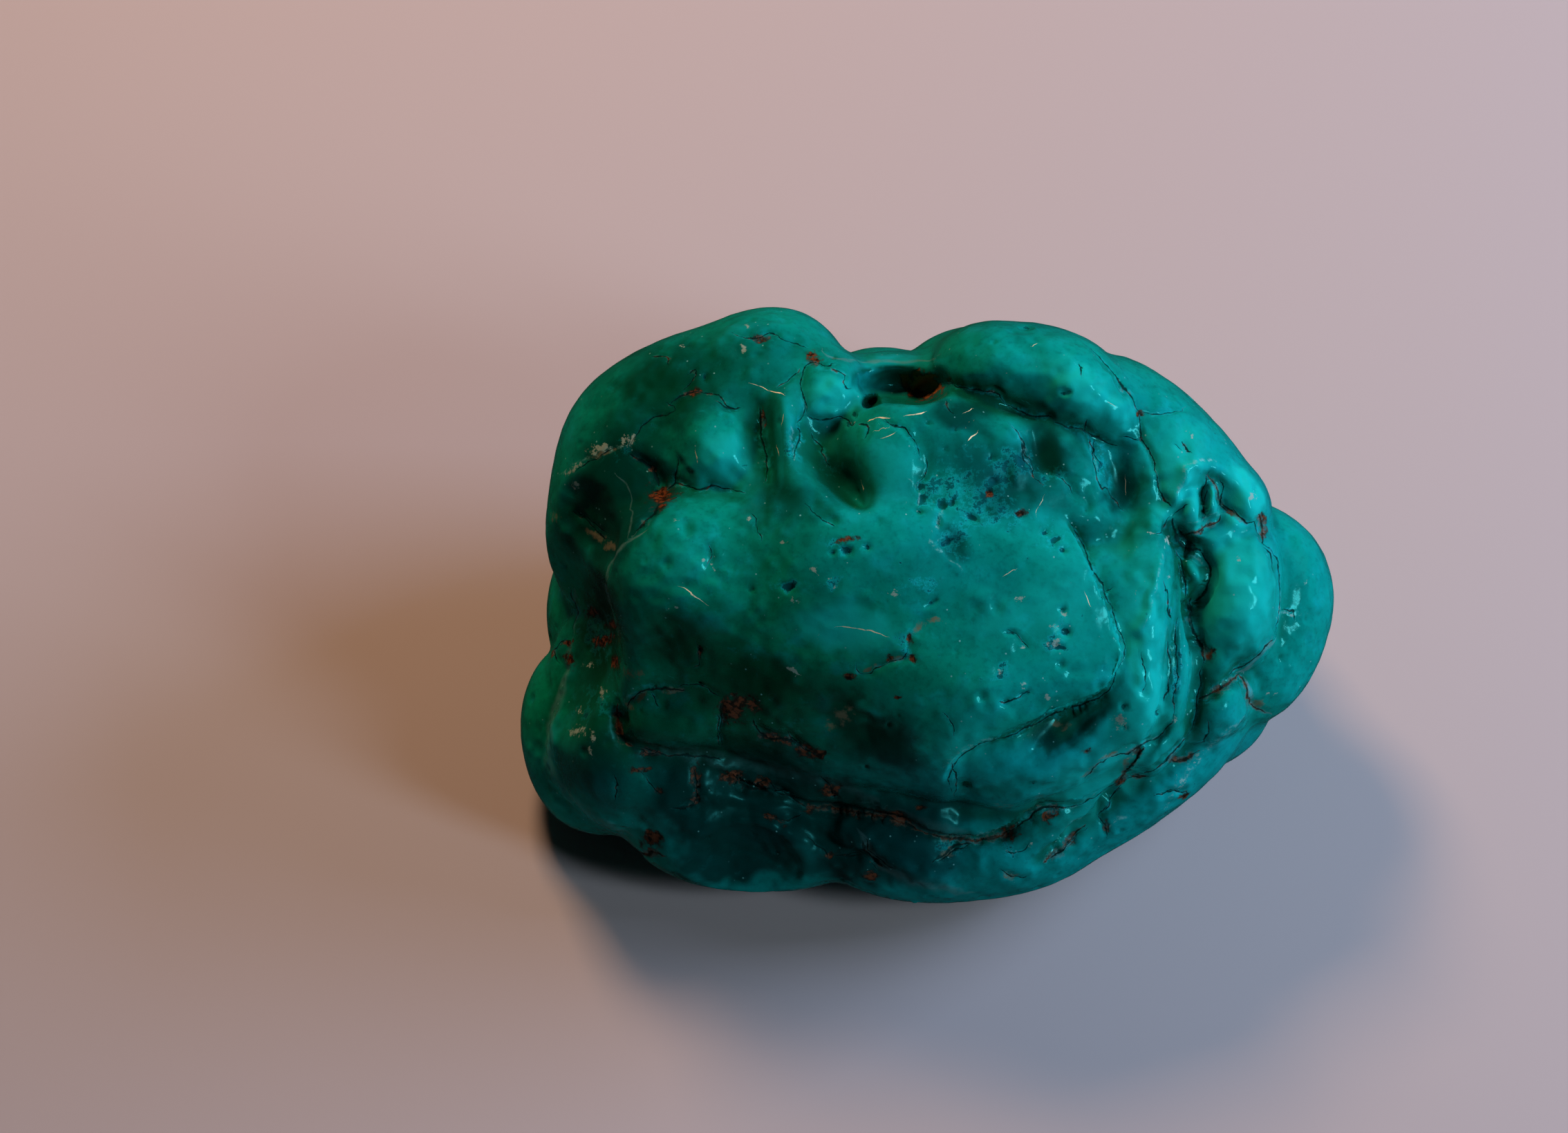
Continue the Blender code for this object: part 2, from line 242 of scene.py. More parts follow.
@dataclass(frozen=True)
class Lobe:
    """A swelling: an ellipsoid for power 2, squarer above, turned by spin degrees in the face."""

    name: str
    centre: Triple
    radii: Triple
    spin: float
    power: float
    blend: float

    def distance(self, points: Array) -> Array:
        """The signed distance to the lobe, roughly.

        Args:
            points: Points in the face frame.

        Returns:
            The distance at each point, below 0 inside.
        """
        spin = math.radians(self.spin)
        shifted = points - np.array(self.centre)
        along = shifted[:, 0] * math.cos(spin) + shifted[:, 1] * math.sin(spin)
        across = shifted[:, 1] * math.cos(spin) - shifted[:, 0] * math.sin(spin)
        scaled = np.abs(np.stack([along, across, shifted[:, 2]], axis=1) / np.array(self.radii)) + 1e-9
        size = (scaled**self.power).sum(axis=1) ** (1 / self.power)
        slope = scaled ** (self.power - 1) / np.array(self.radii) * (size ** (1 - self.power))[:, None]
        return (size - 1) / np.sqrt((slope * slope).sum(axis=1))

    def near(self, points: Array, margin: float) -> Array:
        """The points within a margin of the lobe's widest reach.

        Args:
            points: Points in the face frame.
            margin: How far from the lobe a point may be.

        Returns:
            The indices of those points.
        """
        across = max(self.radii[:2]) + margin
        reach = np.array([across, across, self.radii[2] + margin])
        return np.nonzero((np.abs(points - np.array(self.centre)) < reach).all(axis=1))[0]


@dataclass(frozen=True)
class WornFace:
    """One flat side of the broad slab."""

    point: Triple
    normal: Triple

    def distance(self, points: Array) -> Array:
        """The signed distance to the face's plane."""
        return (points - np.array(self.point)) @ (np.array(self.normal) / np.linalg.norm(self.normal))


@dataclass(frozen=True)
class Scoop:
    """A hollow: a ball pressed in as far as the point, from the side that it faces."""

    name: str
    point: Triple
    facing: Triple
    radius: float
    blend: float

    def distance(self, points: Array) -> Array:
        """The signed distance to the ball."""
        facing = np.array(self.facing) / np.linalg.norm(self.facing)
        return np.linalg.norm(points - np.array(self.point) - facing * self.radius, axis=1) - self.radius


@dataclass(frozen=True)
class Ledge:
    """A layer that ends: to the left of the path the surface drops, and climbs back over the reach.

    The ledge holds inside a window of u0, v0, u1, v1, and fades at the window's sides.
    """

    name: str
    path: Path
    window: tuple[float, float, float, float]
    drop: float
    reach: float
    edge: float
    fade: float = 3.0
    span: float = 12.0
    span_fade: float = 4.0

    def depth(self, points: Array) -> Array:
        """How far the ledge lowers the surface at each point.

        Args:
            points: Points in the face frame.

        Returns:
            The drop at each point.
        """
        aside, _ = beside_path(points[:, :2], self.path)
        left, low, right, high = self.window
        inside = ease((points[:, 0] - left) / self.fade) * ease((right - points[:, 0]) / self.fade)
        inside *= ease((points[:, 1] - low) / self.fade) * ease((high - points[:, 1]) / self.fade)
        step = ease(aside / self.edge + 0.5) * np.exp(-np.maximum(aside, 0) / self.reach)
        return self.drop * inside * step * ease((self.span - np.abs(aside)) / self.span_fade)


@dataclass(frozen=True)
class StoneForm:
    """Everything that gives the stone its shape, as one signed distance."""

    face_frame: FaceFrame = FaceFrame()
    bulk: tuple[Lobe, ...] = (
        Lobe("core", (0, -1, -8), (32, 25, 15), 0, 2.2, 0.0),
        Lobe("bulk left", (-19, 8, -10), (17, 17, 14), 0, 2.2, 3.0),
        Lobe("bulk right", (17, 5, -9), (16, 16, 12), 0, 2.2, 3.0),
        Lobe("underside", (-2, 1.5, -10), (28, 21, 17.5), 0, 2.2, 2.0),
        Lobe("rear left", (-20, 10, -15), (12, 10, 10), 12, 2.2, 2.0),
        Lobe("rear middle", (3, 12, -15), (13, 11, 10), -8, 2.2, 2.0),
        Lobe("rear right", (20, 8, -13), (11, 10, 10), -30, 2.2, 2.0),
        Lobe("under right", (25, -9, -9), (9, 8, 8), 25, 2.2, 2.0),
    )
    shoulder: tuple[Lobe, ...] = (
        Lobe("shoulder", (-21.5, 13, -2), (14.5, 13.2, 12), 25, 2.3, 2.5),
        Lobe("shoulder peak", (-15, 19, -2), (8, 9.7, 11.5), 0, 2.1, 2.5),
        Lobe("shoulder flank", (-28, 7, -3), (9.2, 10, 11), 0, 2.1, 2.5),
        Lobe("round bump", (-20.6, 14.7, 5.0), (5.1, 5.7, 7.6), 8, 2.2, 1.6),
        Lobe("groove lip", (-13.8, 14, 6.5), (2.6, 7.5, 7), 4, 2.0, 1.2),
        Lobe("hole shoulder", (-10.2, 19.4, 2.9), (4.8, 5.0, 8), -15, 2.2, 2.0),
        Lobe("round knuckle", (-4.4, 13.3, 7.1), (4.5, 5.7, 8), 8, 2.5, 1.4),
    )
    slab_faces: tuple[WornFace, ...] = (
        WornFace((-22, 3, 15.0), (-0.14, 0.05, 1)),
        WornFace((0, 2, 17.2), (0.06, 0.05, 1)),
        WornFace((14, 0, 15.8), (0.22, 0.00, 1)),
        WornFace((0, 8, 16.6), (0.02, 0.42, 1)),
        WornFace((-8, -8.5, 15.1), (-0.24, -0.48, 0.85)),
        WornFace((-21.5, -3.4, 14.5), (-0.26, -0.50, 0.83)),
        WornFace((-6, -15, 11.0), (-0.25, -0.80, 0.55)),
        WornFace((10, -14, 13.2), (0.22, -0.55, 0.80)),
        WornFace((-31, 1, 8), (-1, 0.12, 0.30)),
        WornFace((-29.9, -9, 7), (-1, -0.05, 0.22)),
        WornFace((-28.6, -13.2, 5), (-0.62, -0.78, 0.12)),
        WornFace((-15, -16.3, 5), (-0.22, -0.97, 0.12)),
        WornFace((-3, -19.4, 4), (-0.26, -0.96, 0.12)),
        WornFace((6, -21.4, 4), (0.10, -0.99, 0.12)),
        WornFace((15, -18, 4), (0.50, -0.86, 0.15)),
        WornFace((22.7, -3, 6), (1, -0.06, 0.25)),
        WornFace((-10, 12, 8), (-0.16, 1, 0.5)),
        WornFace((12, 10.5, 8), (0.35, 1, 0.6)),
        WornFace((0, 0, -8), (0, 0, -1)),
    )
    slab_roundness: float = 2.6
    slab_blend: float = 0.8
    slab_swellings: tuple[Lobe, ...] = (
        Lobe("slab left", (-22.5, 3.5, 7.0), (9.0, 7.5, 9.8), 8, 2.3, 2.0),
        Lobe("slab middle", (-8, 4, 8.5), (11, 8, 9.2), -10, 2.3, 3.0),
        Lobe("corner block", (-24.6, -11.0, 1.4), (5.0, 3.3, 7.0), 0, 2.6, 1.6),
    )
    upper: tuple[Lobe, ...] = (
        Lobe("shelf left", (-12, 9, 4), (8, 7, 10), 0, 2.2, 3.0),
        Lobe("shelf middle", (3.0, 12.3, 4.6), (10.5, 8.0, 9.6), -22, 2.8, 3.5),
        Lobe("shelf right", (13, 10.5, 2.5), (9.5, 7, 10), -35, 2.4, 3.0),
        Lobe("roll start", (6.9, 22.2, 3.6), (6.9, 4.9, 9.2), -6, 2.0, 0.6),
        Lobe("roll middle", (13.2, 20.6, 3.8), (7.2, 5.0, 9.4), -36, 2.0, 2.0),
        Lobe("roll end", (17.0, 18.4, 2.8), (4, 4.2, 8.6), -50, 2.0, 1.5),
        Lobe("roll back", (9, 17.6, -4), (13, 8.8, 12), -18, 2.1, 1.5),
        Lobe("low back", (-4.5, 18, -12), (9, 7.2, 9), 0, 2.0, 1.5),
        Lobe("saddle", (-3.5, 20.5, -1), (8.5, 3.9, 7.5), 0, 2.0, 1.0),
    )
    right_end: tuple[Lobe, ...] = (
        Lobe("upper flank", (21.5, 12.5, -0.9), (13.5, 7.8, 11.2), -47, 2.3, 1.0),
        Lobe("upper flank back", (19, 15, -8), (11, 7.3, 8), -42, 2.2, 1.0),
        Lobe("inner fold", (19.2, -2.5, 5.6), (4.2, 12.5, 8.9), -5, 2.6, 1.0),
        Lobe("outer fold", (22.7, -4.5, 3), (3.0, 10.0, 8.4), -3, 2.3, 0.9),
        Lobe("fold tail", (21.0, -13.9, 3.0), (4.8, 2.6, 6.2), 42, 2.0, 1.2),
        Lobe("big knob", (28.8, 0.9, 0), (5.2, 7.8, 9.1), -3, 2.5, 0.6),
        Lobe("tip", (28.6, -1, -5.5), (10.5, 11.5, 9), -20, 2.2, 0.7),
        Lobe("curled rim", (28.0, 10.0, 1), (5.0, 4.0, 7.8), -30, 2.0, 0.8),
        Lobe("channel floor", (25.9, -2.2, 1.0), (2.2, 7.6, 6.9), -2, 2.0, 0.8),
        Lobe("small knob", (24.3, 3.3, 4.3), (1.8, 2.9, 5.0), 28, 2.4, 0.7),
        Lobe("wedge", (26.7, -9.7, 0.2), (5.2, 3.5, 7.0), 38, 2.0, 0.8),
        Lobe("knob root", (27.1, -4.6, -0.2), (3.7, 5.8, 7.8), -12, 2.1, 1.0),
    )
    foot: tuple[Lobe, ...] = (
        Lobe("left foot", (-30.5, -11, -4.5), (6.4, 11, 9.5), 10, 2.2, 0.9),
        Lobe("left toe", (-25, -15.8, -4.0), (10, 6.5, 8.5), -14, 2.3, 1.5),
        Lobe("left back high", (-31.5, -1, -12), (6.0, 9, 8), 0, 2.0, 0.8),
        Lobe("left back low", (-32, -13, -10), (7.9, 10, 8), 8, 2.1, 0.8),
        Lobe("left back toe", (-26, -18, -9), (8.5, 6.2, 8), -25, 2.1, 0.8),
        Lobe("belly", (3, -19, -4.5), (16, 10, 9.5), 4, 2.3, 1.0),
        Lobe("belly left", (-17, -18.9, -6), (13, 9.2, 8.5), -3, 2.4, 1.2),
        Lobe("layer high", (14, -15.2, -1), (13, 6.2, 8), 37, 2.3, 0.7),
        Lobe("layer low", (18.6, -14.8, -4.5), (15, 7.4, 8), 36, 2.3, 0.7),
    )
    scoops: tuple[Scoop, ...] = (
        Scoop("flank scoop", (-31.9, 9.4, 5.9), (-0.72, -0.30, 0.62), 8.5, 0.6),
        Scoop("flank channel", (-33.0, 1.0, 0.5), (-0.80, -0.35, 0.50), 14, 1.5),
        Scoop("belly scoop", (-17.5, -23.3, -1.2), (-0.10, -0.72, 0.68), 9.0, 0.7),
        Scoop("slab dish", (-5.2, -11.8, 12.6), (-0.50, -0.45, 0.74), 12, 1.6),
        Scoop("knob bowl", (26.6, 10.1, 7.5), (0.15, -0.15, 0.97), 4.2, 0.8),
        Scoop("rear scoop", (-6, 21, -17), (-0.2, 0.75, -0.6), 14, 2.0),
        Scoop("rear hollow", (17, 14, -17), (0.3, 0.6, -0.7), 9, 1.5),
    )
    hollows: tuple[Lobe, ...] = (
        Lobe("trench", (-2.9, 21.0, 11), (4.5, 2.1, 8.0), -4, 2.3, 0.9),
        Lobe("pointed hollow", (-9.3, 12.3, 15.3), (1.5, 4.1, 3.9), 40, 2.0, 1.5),
        Lobe("shelf slot", (9.9, 14.8, 14.4), (1.5, 3.2, 3.4), 12, 2.0, 1.8),
        Lobe("shelf hollow", (17.7, 11.8, 13.4), (1.9, 4.4, 4.4), 10, 2.0, 1.8),
        Lobe("bump groove", (-15.8, 14.9, 13.6), (0.8, 3.9, 2.5), 8, 2.0, 2.4),
        Lobe("leaf hollow", (11.9, -12.3, 15.4), (1.3, 4.8, 3.5), -47, 2.0, 1.0),
    )
    slivers: tuple[Lobe, ...] = (
        Lobe("wide sliver", (24.2, 8.9, 5.0), (1.9, 3.0, 5.0), 12, 2.3, 0.4),
        Lobe("thin sliver", (26.5, 9.8, 4.9), (1.2, 2.4, 4.8), -6, 2.3, 0.4),
    )
    pockets: tuple[Lobe, ...] = (
        Lobe("left hole", (-5.6, 19.4, 10), (1.2, 0.65, 6.4), 35, 2.0, 0.4),
        Lobe("rust hole", (-0.9, 20.5, 9), (2.3, 1.4, 6.6), 28, 2.0, 0.5),
        Lobe("rust hole left", (-2.2, 21.2, 9), (0.8, 1.1, 6.4), 0, 2.0, 0.4),
        Lobe("bump recess", (-21.2, 20.3, 11.5), (1.9, 0.8, 2.0), -8, 2.0, 0.8),
        Lobe("blue dish", (2.0, 6.2, 18.4), (2.0, 2.9, 2.2), -15, 2.0, 0.4),
        Lobe("rusty nick", (-18.7, -9.9, 12.0), (1.5, 1.1, 1.3), 40, 2.0, 0.5),
        Lobe("matrix hole", (-25.9, 10.1, 7.4), (1.5, 1.1, 2.4), 30, 2.0, 0.6),
    )
    ledges: tuple[Ledge, ...] = (
        Ledge(
            "plate edge",
            (
                10.6, 14, 12.2, 8.6, 13.6, 6.2, 14.6, 4.3, 16, 1, 17.3, -2, 17.8, -4.5,
                16.4, -8, 14, -9.6, 11, -10.6, 8.5, -11.7, 3.5, -13.6, 1, -16, -1.5, -18.5,
            ),
            (0.5, -30, 30, 8.5), 1.4, 6.0, 0.6,
        ),
        Ledge(
            "rim layer",
            (
                25, -6, 23, -10, 20.5, -14, 18, -17, 14, -19.2, 10, -20, 7, -21.8, 3.5, -22.8,
                0, -22.2, -3, -21, -7, -20, -13, -19, -17.5, -17.7, -20, -16.2, -25, -14,
            ),
            (-22, -30, 22, -11), 0.9, 3.0, 0.7,
        ),
    )
    face_side: float = -2.0
    rest_depth: float = 0.5
    rest_blend: float = 5.0
    rest_edge: float = 0.5
    margin: float = 5.0

    def names(self) -> list[str]:
        """The names of all that the form is made of.

        Returns:
            The names, of what is added and then of what is taken away.
        """
        added = self.bulk + self.shoulder + self.slab_swellings + self.upper + self.right_end + self.foot
        taken = self.scoops + self.hollows + self.pockets + self.ledges
        return [part.name for part in added + self.slivers + taken]

    def _join(self, distance: Array, points: Array, lobe: Lobe, taken: bool) -> None:
        """Adds a lobe to the distance, or takes it away, where it is near enough to matter.

        Args:
            distance: The distance so far, changed in place.
            points: Points in the face frame.
            lobe: The swelling or hollow.
            taken: True to take the lobe away.
        """
        near = lobe.near(points, self.margin)
        step = lobe.distance(points[near])
        if taken:
            distance[near] = smooth_high(distance[near], -step, lobe.blend)
        else:
            distance[near] = smooth_low(distance[near], step, lobe.blend)

    def distance(self, points: Array) -> Array:
        """The signed distance to the stone's surface, roughly.

        Args:
            points: Points in the face frame.

        Returns:
            The distance at each point, below 0 inside the stone.
        """
        distance = self.bulk[0].distance(points)
        for lobe in self.bulk[1:] + self.shoulder:
            self._join(distance, points, lobe, taken=False)
        slab = self.slab_faces[0].distance(points)
        for side in self.slab_faces[1:]:
            slab = smooth_high(slab, side.distance(points), self.slab_roundness)
        distance = smooth_low(distance, slab, self.slab_blend)
        for lobe in self.slab_swellings + self.upper + self.right_end + self.foot:
            self._join(distance, points, lobe, taken=False)
        for scoop in self.scoops:
            distance = smooth_high(distance, -scoop.distance(points), scoop.blend)
        for lobe in self.hollows:
            self._join(distance, points, lobe, taken=True)
        for lobe in self.slivers:
            self._join(distance, points, lobe, taken=False)
        for lobe in self.pockets:
            self._join(distance, points, lobe, taken=True)
        above = np.nonzero((points[:, 2] > self.face_side) & (np.abs(distance) < self.margin))[0]
        for ledge in self.ledges:
            distance[above] += ledge.depth(points[above])
        height = self.face_frame.height(points)
        distance = smooth_high(distance, -self.rest_depth - height, self.rest_blend)
        return smooth_high(distance, -height, self.rest_edge)

    def slope(self, points: Array, probe: float = 0.06) -> tuple[Array, Array]:
        """The distance at each point, and the way straight out of the stone there.

        Args:
            points: Points in the face frame.
            probe: How far apart the distance is measured.

        Returns:
            The distances, and one unit direction a row.
        """
        here = self.distance(points)
        steps = [self.distance(points + step) - here for step in np.eye(3) * probe]
        slope = np.stack(steps, axis=1)
        return here, slope / (np.linalg.norm(slope, axis=1)[:, None] + 1e-9)


# The net of points drawn over the form


@dataclass
class SurfaceNet:
    """Lays a net of four-sided faces over a form: one point in each small cell that the surface crosses."""

    spacing: float = 0.28
    low: Triple = (-42.0, -33.0, -30.0)
    high: Triple = (42.0, 35.0, 22.0)
    coarse: int = 4
    band: float = 2.0
    relax_rounds: int = 3
    relax: float = 0.5

    def draw(self, form: StoneForm) -> tuple[Array, Array]:
        """Draws the net over a form.

        Args:
            form: The form, as a signed distance.

        Returns:
            The points, one row each, and the four point numbers of each face, facing out.
        """
        values = self._sampled(form)
        points, cell_ids = self._cell_points(values)
        faces = self._faces(values, cell_ids)
        points = self._settled(points, faces, form)
        return points, faces

    def _sampled(self, form: StoneForm) -> Array:
        """The form's distance on a grid, worked out only close to the surface.

        Args:
            form: The form, as a signed distance.

        Returns:
            The distances on the grid's nodes.
        """
        step = self.spacing * self.coarse
        cells = np.ceil((np.array(self.high) - np.array(self.low)) / step).astype(int)
        nodes = np.stack(np.meshgrid(*[np.arange(n + 1) for n in cells], indexing="ij"), axis=-1)
        rough = form.distance(nodes.reshape(-1, 3) * step + np.array(self.low)).reshape(nodes.shape[:3])
        close = np.zeros(cells, bool)
        inside = rough[:-1, :-1, :-1] < 0
        for corner in np.ndindex(2, 2, 2):
            part = rough[tuple(slice(c, c + n) for c, n in zip(corner, cells))]
            close |= np.abs(part) < self.band * step
        for axis in range(3):
            close = close.repeat(self.coarse, axis)
            inside = inside.repeat(self.coarse, axis)
        wanted = np.zeros(np.array(close.shape) + 1, bool)
        for corner in np.ndindex(2, 2, 2):
            wanted[tuple(slice(c, c + n) for c, n in zip(corner, close.shape))] |= close
        values = np.full(wanted.shape, FAR, np.float32)
        values[:-1, :-1, :-1][inside] = -FAR
        where = np.stack(np.nonzero(wanted), axis=1)
        values[wanted] = form.distance(where * self.spacing + np.array(self.low))
        return values

    def _cell_points(self, values: Array) -> tuple[Array, Array]:
        """One point in each cell that the surface crosses, midway between its crossings.

        Args:
            values: The distances on the grid's nodes.

        Returns:
            The points, one row each, and the grid of cells with each cell's point number, or -1.
        """
        shape = np.array(values.shape) - 1
        corners = list(np.ndindex(2, 2, 2))
        inside = values < 0
        count = sum(inside[tuple(slice(c, c + n) for c, n in zip(k, shape))].astype(np.int8) for k in corners)
        cells = np.stack(np.nonzero((count > 0) & (count < 8)), axis=1)
        held = {k: values[tuple((cells + k).T)] for k in corners}
        total = np.zeros((len(cells), 3))
        crossings = np.zeros(len(cells))
        for first in corners:
            for axis in range(3):
                if first[axis]:
                    continue
                second = tuple(c + (i == axis) for i, c in enumerate(first))
                crossed = (held[first] < 0) != (held[second] < 0)
                share = held[first][crossed] / (held[first][crossed] - held[second][crossed])
                place = np.tile(np.array(first, float), (len(share), 1))
                place[:, axis] += share
                total[crossed] += place
                crossings[crossed] += 1
        points = (cells + total / crossings[:, None]) * self.spacing + np.array(self.low)
        cell_ids = np.full(shape, -1, np.int32)
        cell_ids[tuple(cells.T)] = np.arange(len(cells))
        return points, cell_ids

    def _faces(self, values: Array, cell_ids: Array) -> Array:
        """One face round each grid edge that the surface crosses.

        Args:
            values: The distances on the grid's nodes.
            cell_ids: Each cell's point number, or -1.

        Returns:
            The four point numbers of each face, facing out.
        """
        found = []
        for axis in range(3):
            second, third = (axis + 1) % 3, (axis + 2) % 3
            upper = tuple(slice(1, None) if a == axis else slice(None) for a in range(3))
            lower = tuple(slice(None, -1) if a == axis else slice(None) for a in range(3))
            starts_inside = values[lower] < 0
            crossed = starts_inside != (values[upper] < 0)
            edges = np.stack(np.nonzero(crossed), axis=1)
            ring = []
            for back_second, back_third in ((1, 1), (0, 1), (0, 0), (1, 0)):
                cell = edges.copy()
                cell[:, second] -= back_second
                cell[:, third] -= back_third
                ring.append(cell_ids[tuple(cell.T)])
            faces = np.stack(ring, axis=1)
            turned = ~starts_inside[tuple(edges.T)]
            faces[turned] = faces[turned][:, ::-1]
            found.append(faces)
        return np.concatenate(found)

    def _settled(self, points: Array, faces: Array, form: StoneForm) -> Array:
        """Evens out the net and draws each point onto the surface.

        Args:
            points: The points.
            faces: The four point numbers of each face.
            form: The form, as a signed distance.

        Returns:
            The moved points.
        """
        edges = np.concatenate([faces[:, [0, 1]], faces[:, [1, 2]], faces[:, [2, 3]], faces[:, [3, 0]]])
        shares = np.bincount(edges[:, 0], minlength=len(points)) + 1e-9
        for _ in range(self.relax_rounds):
            pull = [np.bincount(edges[:, 0], points[edges[:, 1], axis], len(points)) for axis in range(3)]
            drift = self.relax * (np.stack(pull, axis=1) / shares[:, None] - points)
            here, out = form.slope(points)
            drift -= (drift * out).sum(axis=1)[:, None] * out
            points = points + drift - np.clip(here, -self.spacing, self.spacing)[:, None] * out
        return points


# Marks on the surface


class Fill(Enum):
    """What fills a seam: its value is how much of it is rusty matrix rather than dark gap."""

    GAP = 0.0
    SOILED = 0.45
    RUSTY = 1.0


GAP, SOILED, RUSTY = Fill


@dataclass(frozen=True)
class Seam:
    """A crack or the line where two layers meet, drawn on the face."""

    path: Path
    half_width: float
    depth: float
    fill: Fill = GAP
    valley: float = 0.0
    taper: float = 0.30
    wander: float = 0.22

    def across(self, places: Array) -> tuple[Array, Array]:
        """Where points lie across the seam, and how wide the seam is beside them.

        Args:
            places: The u and v of each point.

        Returns:
            The signed distance across the seam, and its half width, which tapers at its ends.
        """
        aside, along = beside_path(places, self.path)
        narrowing = ease(along / self.taper + 0.15) * ease((1 - along) / self.taper + 0.15)
        return aside, self.half_width * (0.25 + 0.75 * narrowing)


@dataclass(frozen=True)
class Spot:
    """A patch drawn on the face: round, or drawn out along spin degrees."""

    place: Pair
    radii: Pair
    strength: float = 1.0
    spin: float = 0.0

    def cover(self, places: Array) -> Array:
        """How much the spot covers points: its strength in the middle, 0 at its edge, below 0 outside.

        Args:
            places: The u and v of each point.

        Returns:
            The cover at each point.
        """
        spin = math.radians(self.spin)
        shifted = places - np.array(self.place)
        along = shifted[:, 0] * math.cos(spin) + shifted[:, 1] * math.sin(spin)
        across = shifted[:, 1] * math.cos(spin) - shifted[:, 0] * math.sin(spin)
        reach = np.hypot(along / self.radii[0], across / self.radii[1])
        return self.strength * (1 - reach)


def spots(*rows: tuple[float, ...]) -> tuple[Spot, ...]:
    """Spots from rows of numbers.

    Args:
        rows: The u, v and two radii of each, and then its strength and spin where they aren't 1 and 0.

    Returns:
        The spots.
    """
    return tuple(Spot(row[:2], row[2:4], *row[4:]) for row in rows)


def drawn(kind: type, *rows: tuple[float, ...]) -> tuple:
    """Plain seams or folds from rows of numbers.

    Args:
        kind: Seam or Fold.
        rows: The width of each, its depth or height, and then its path.

    Returns:
        The seams or folds.
    """
    return tuple(kind(row[2:], row[0], row[1]) for row in rows)


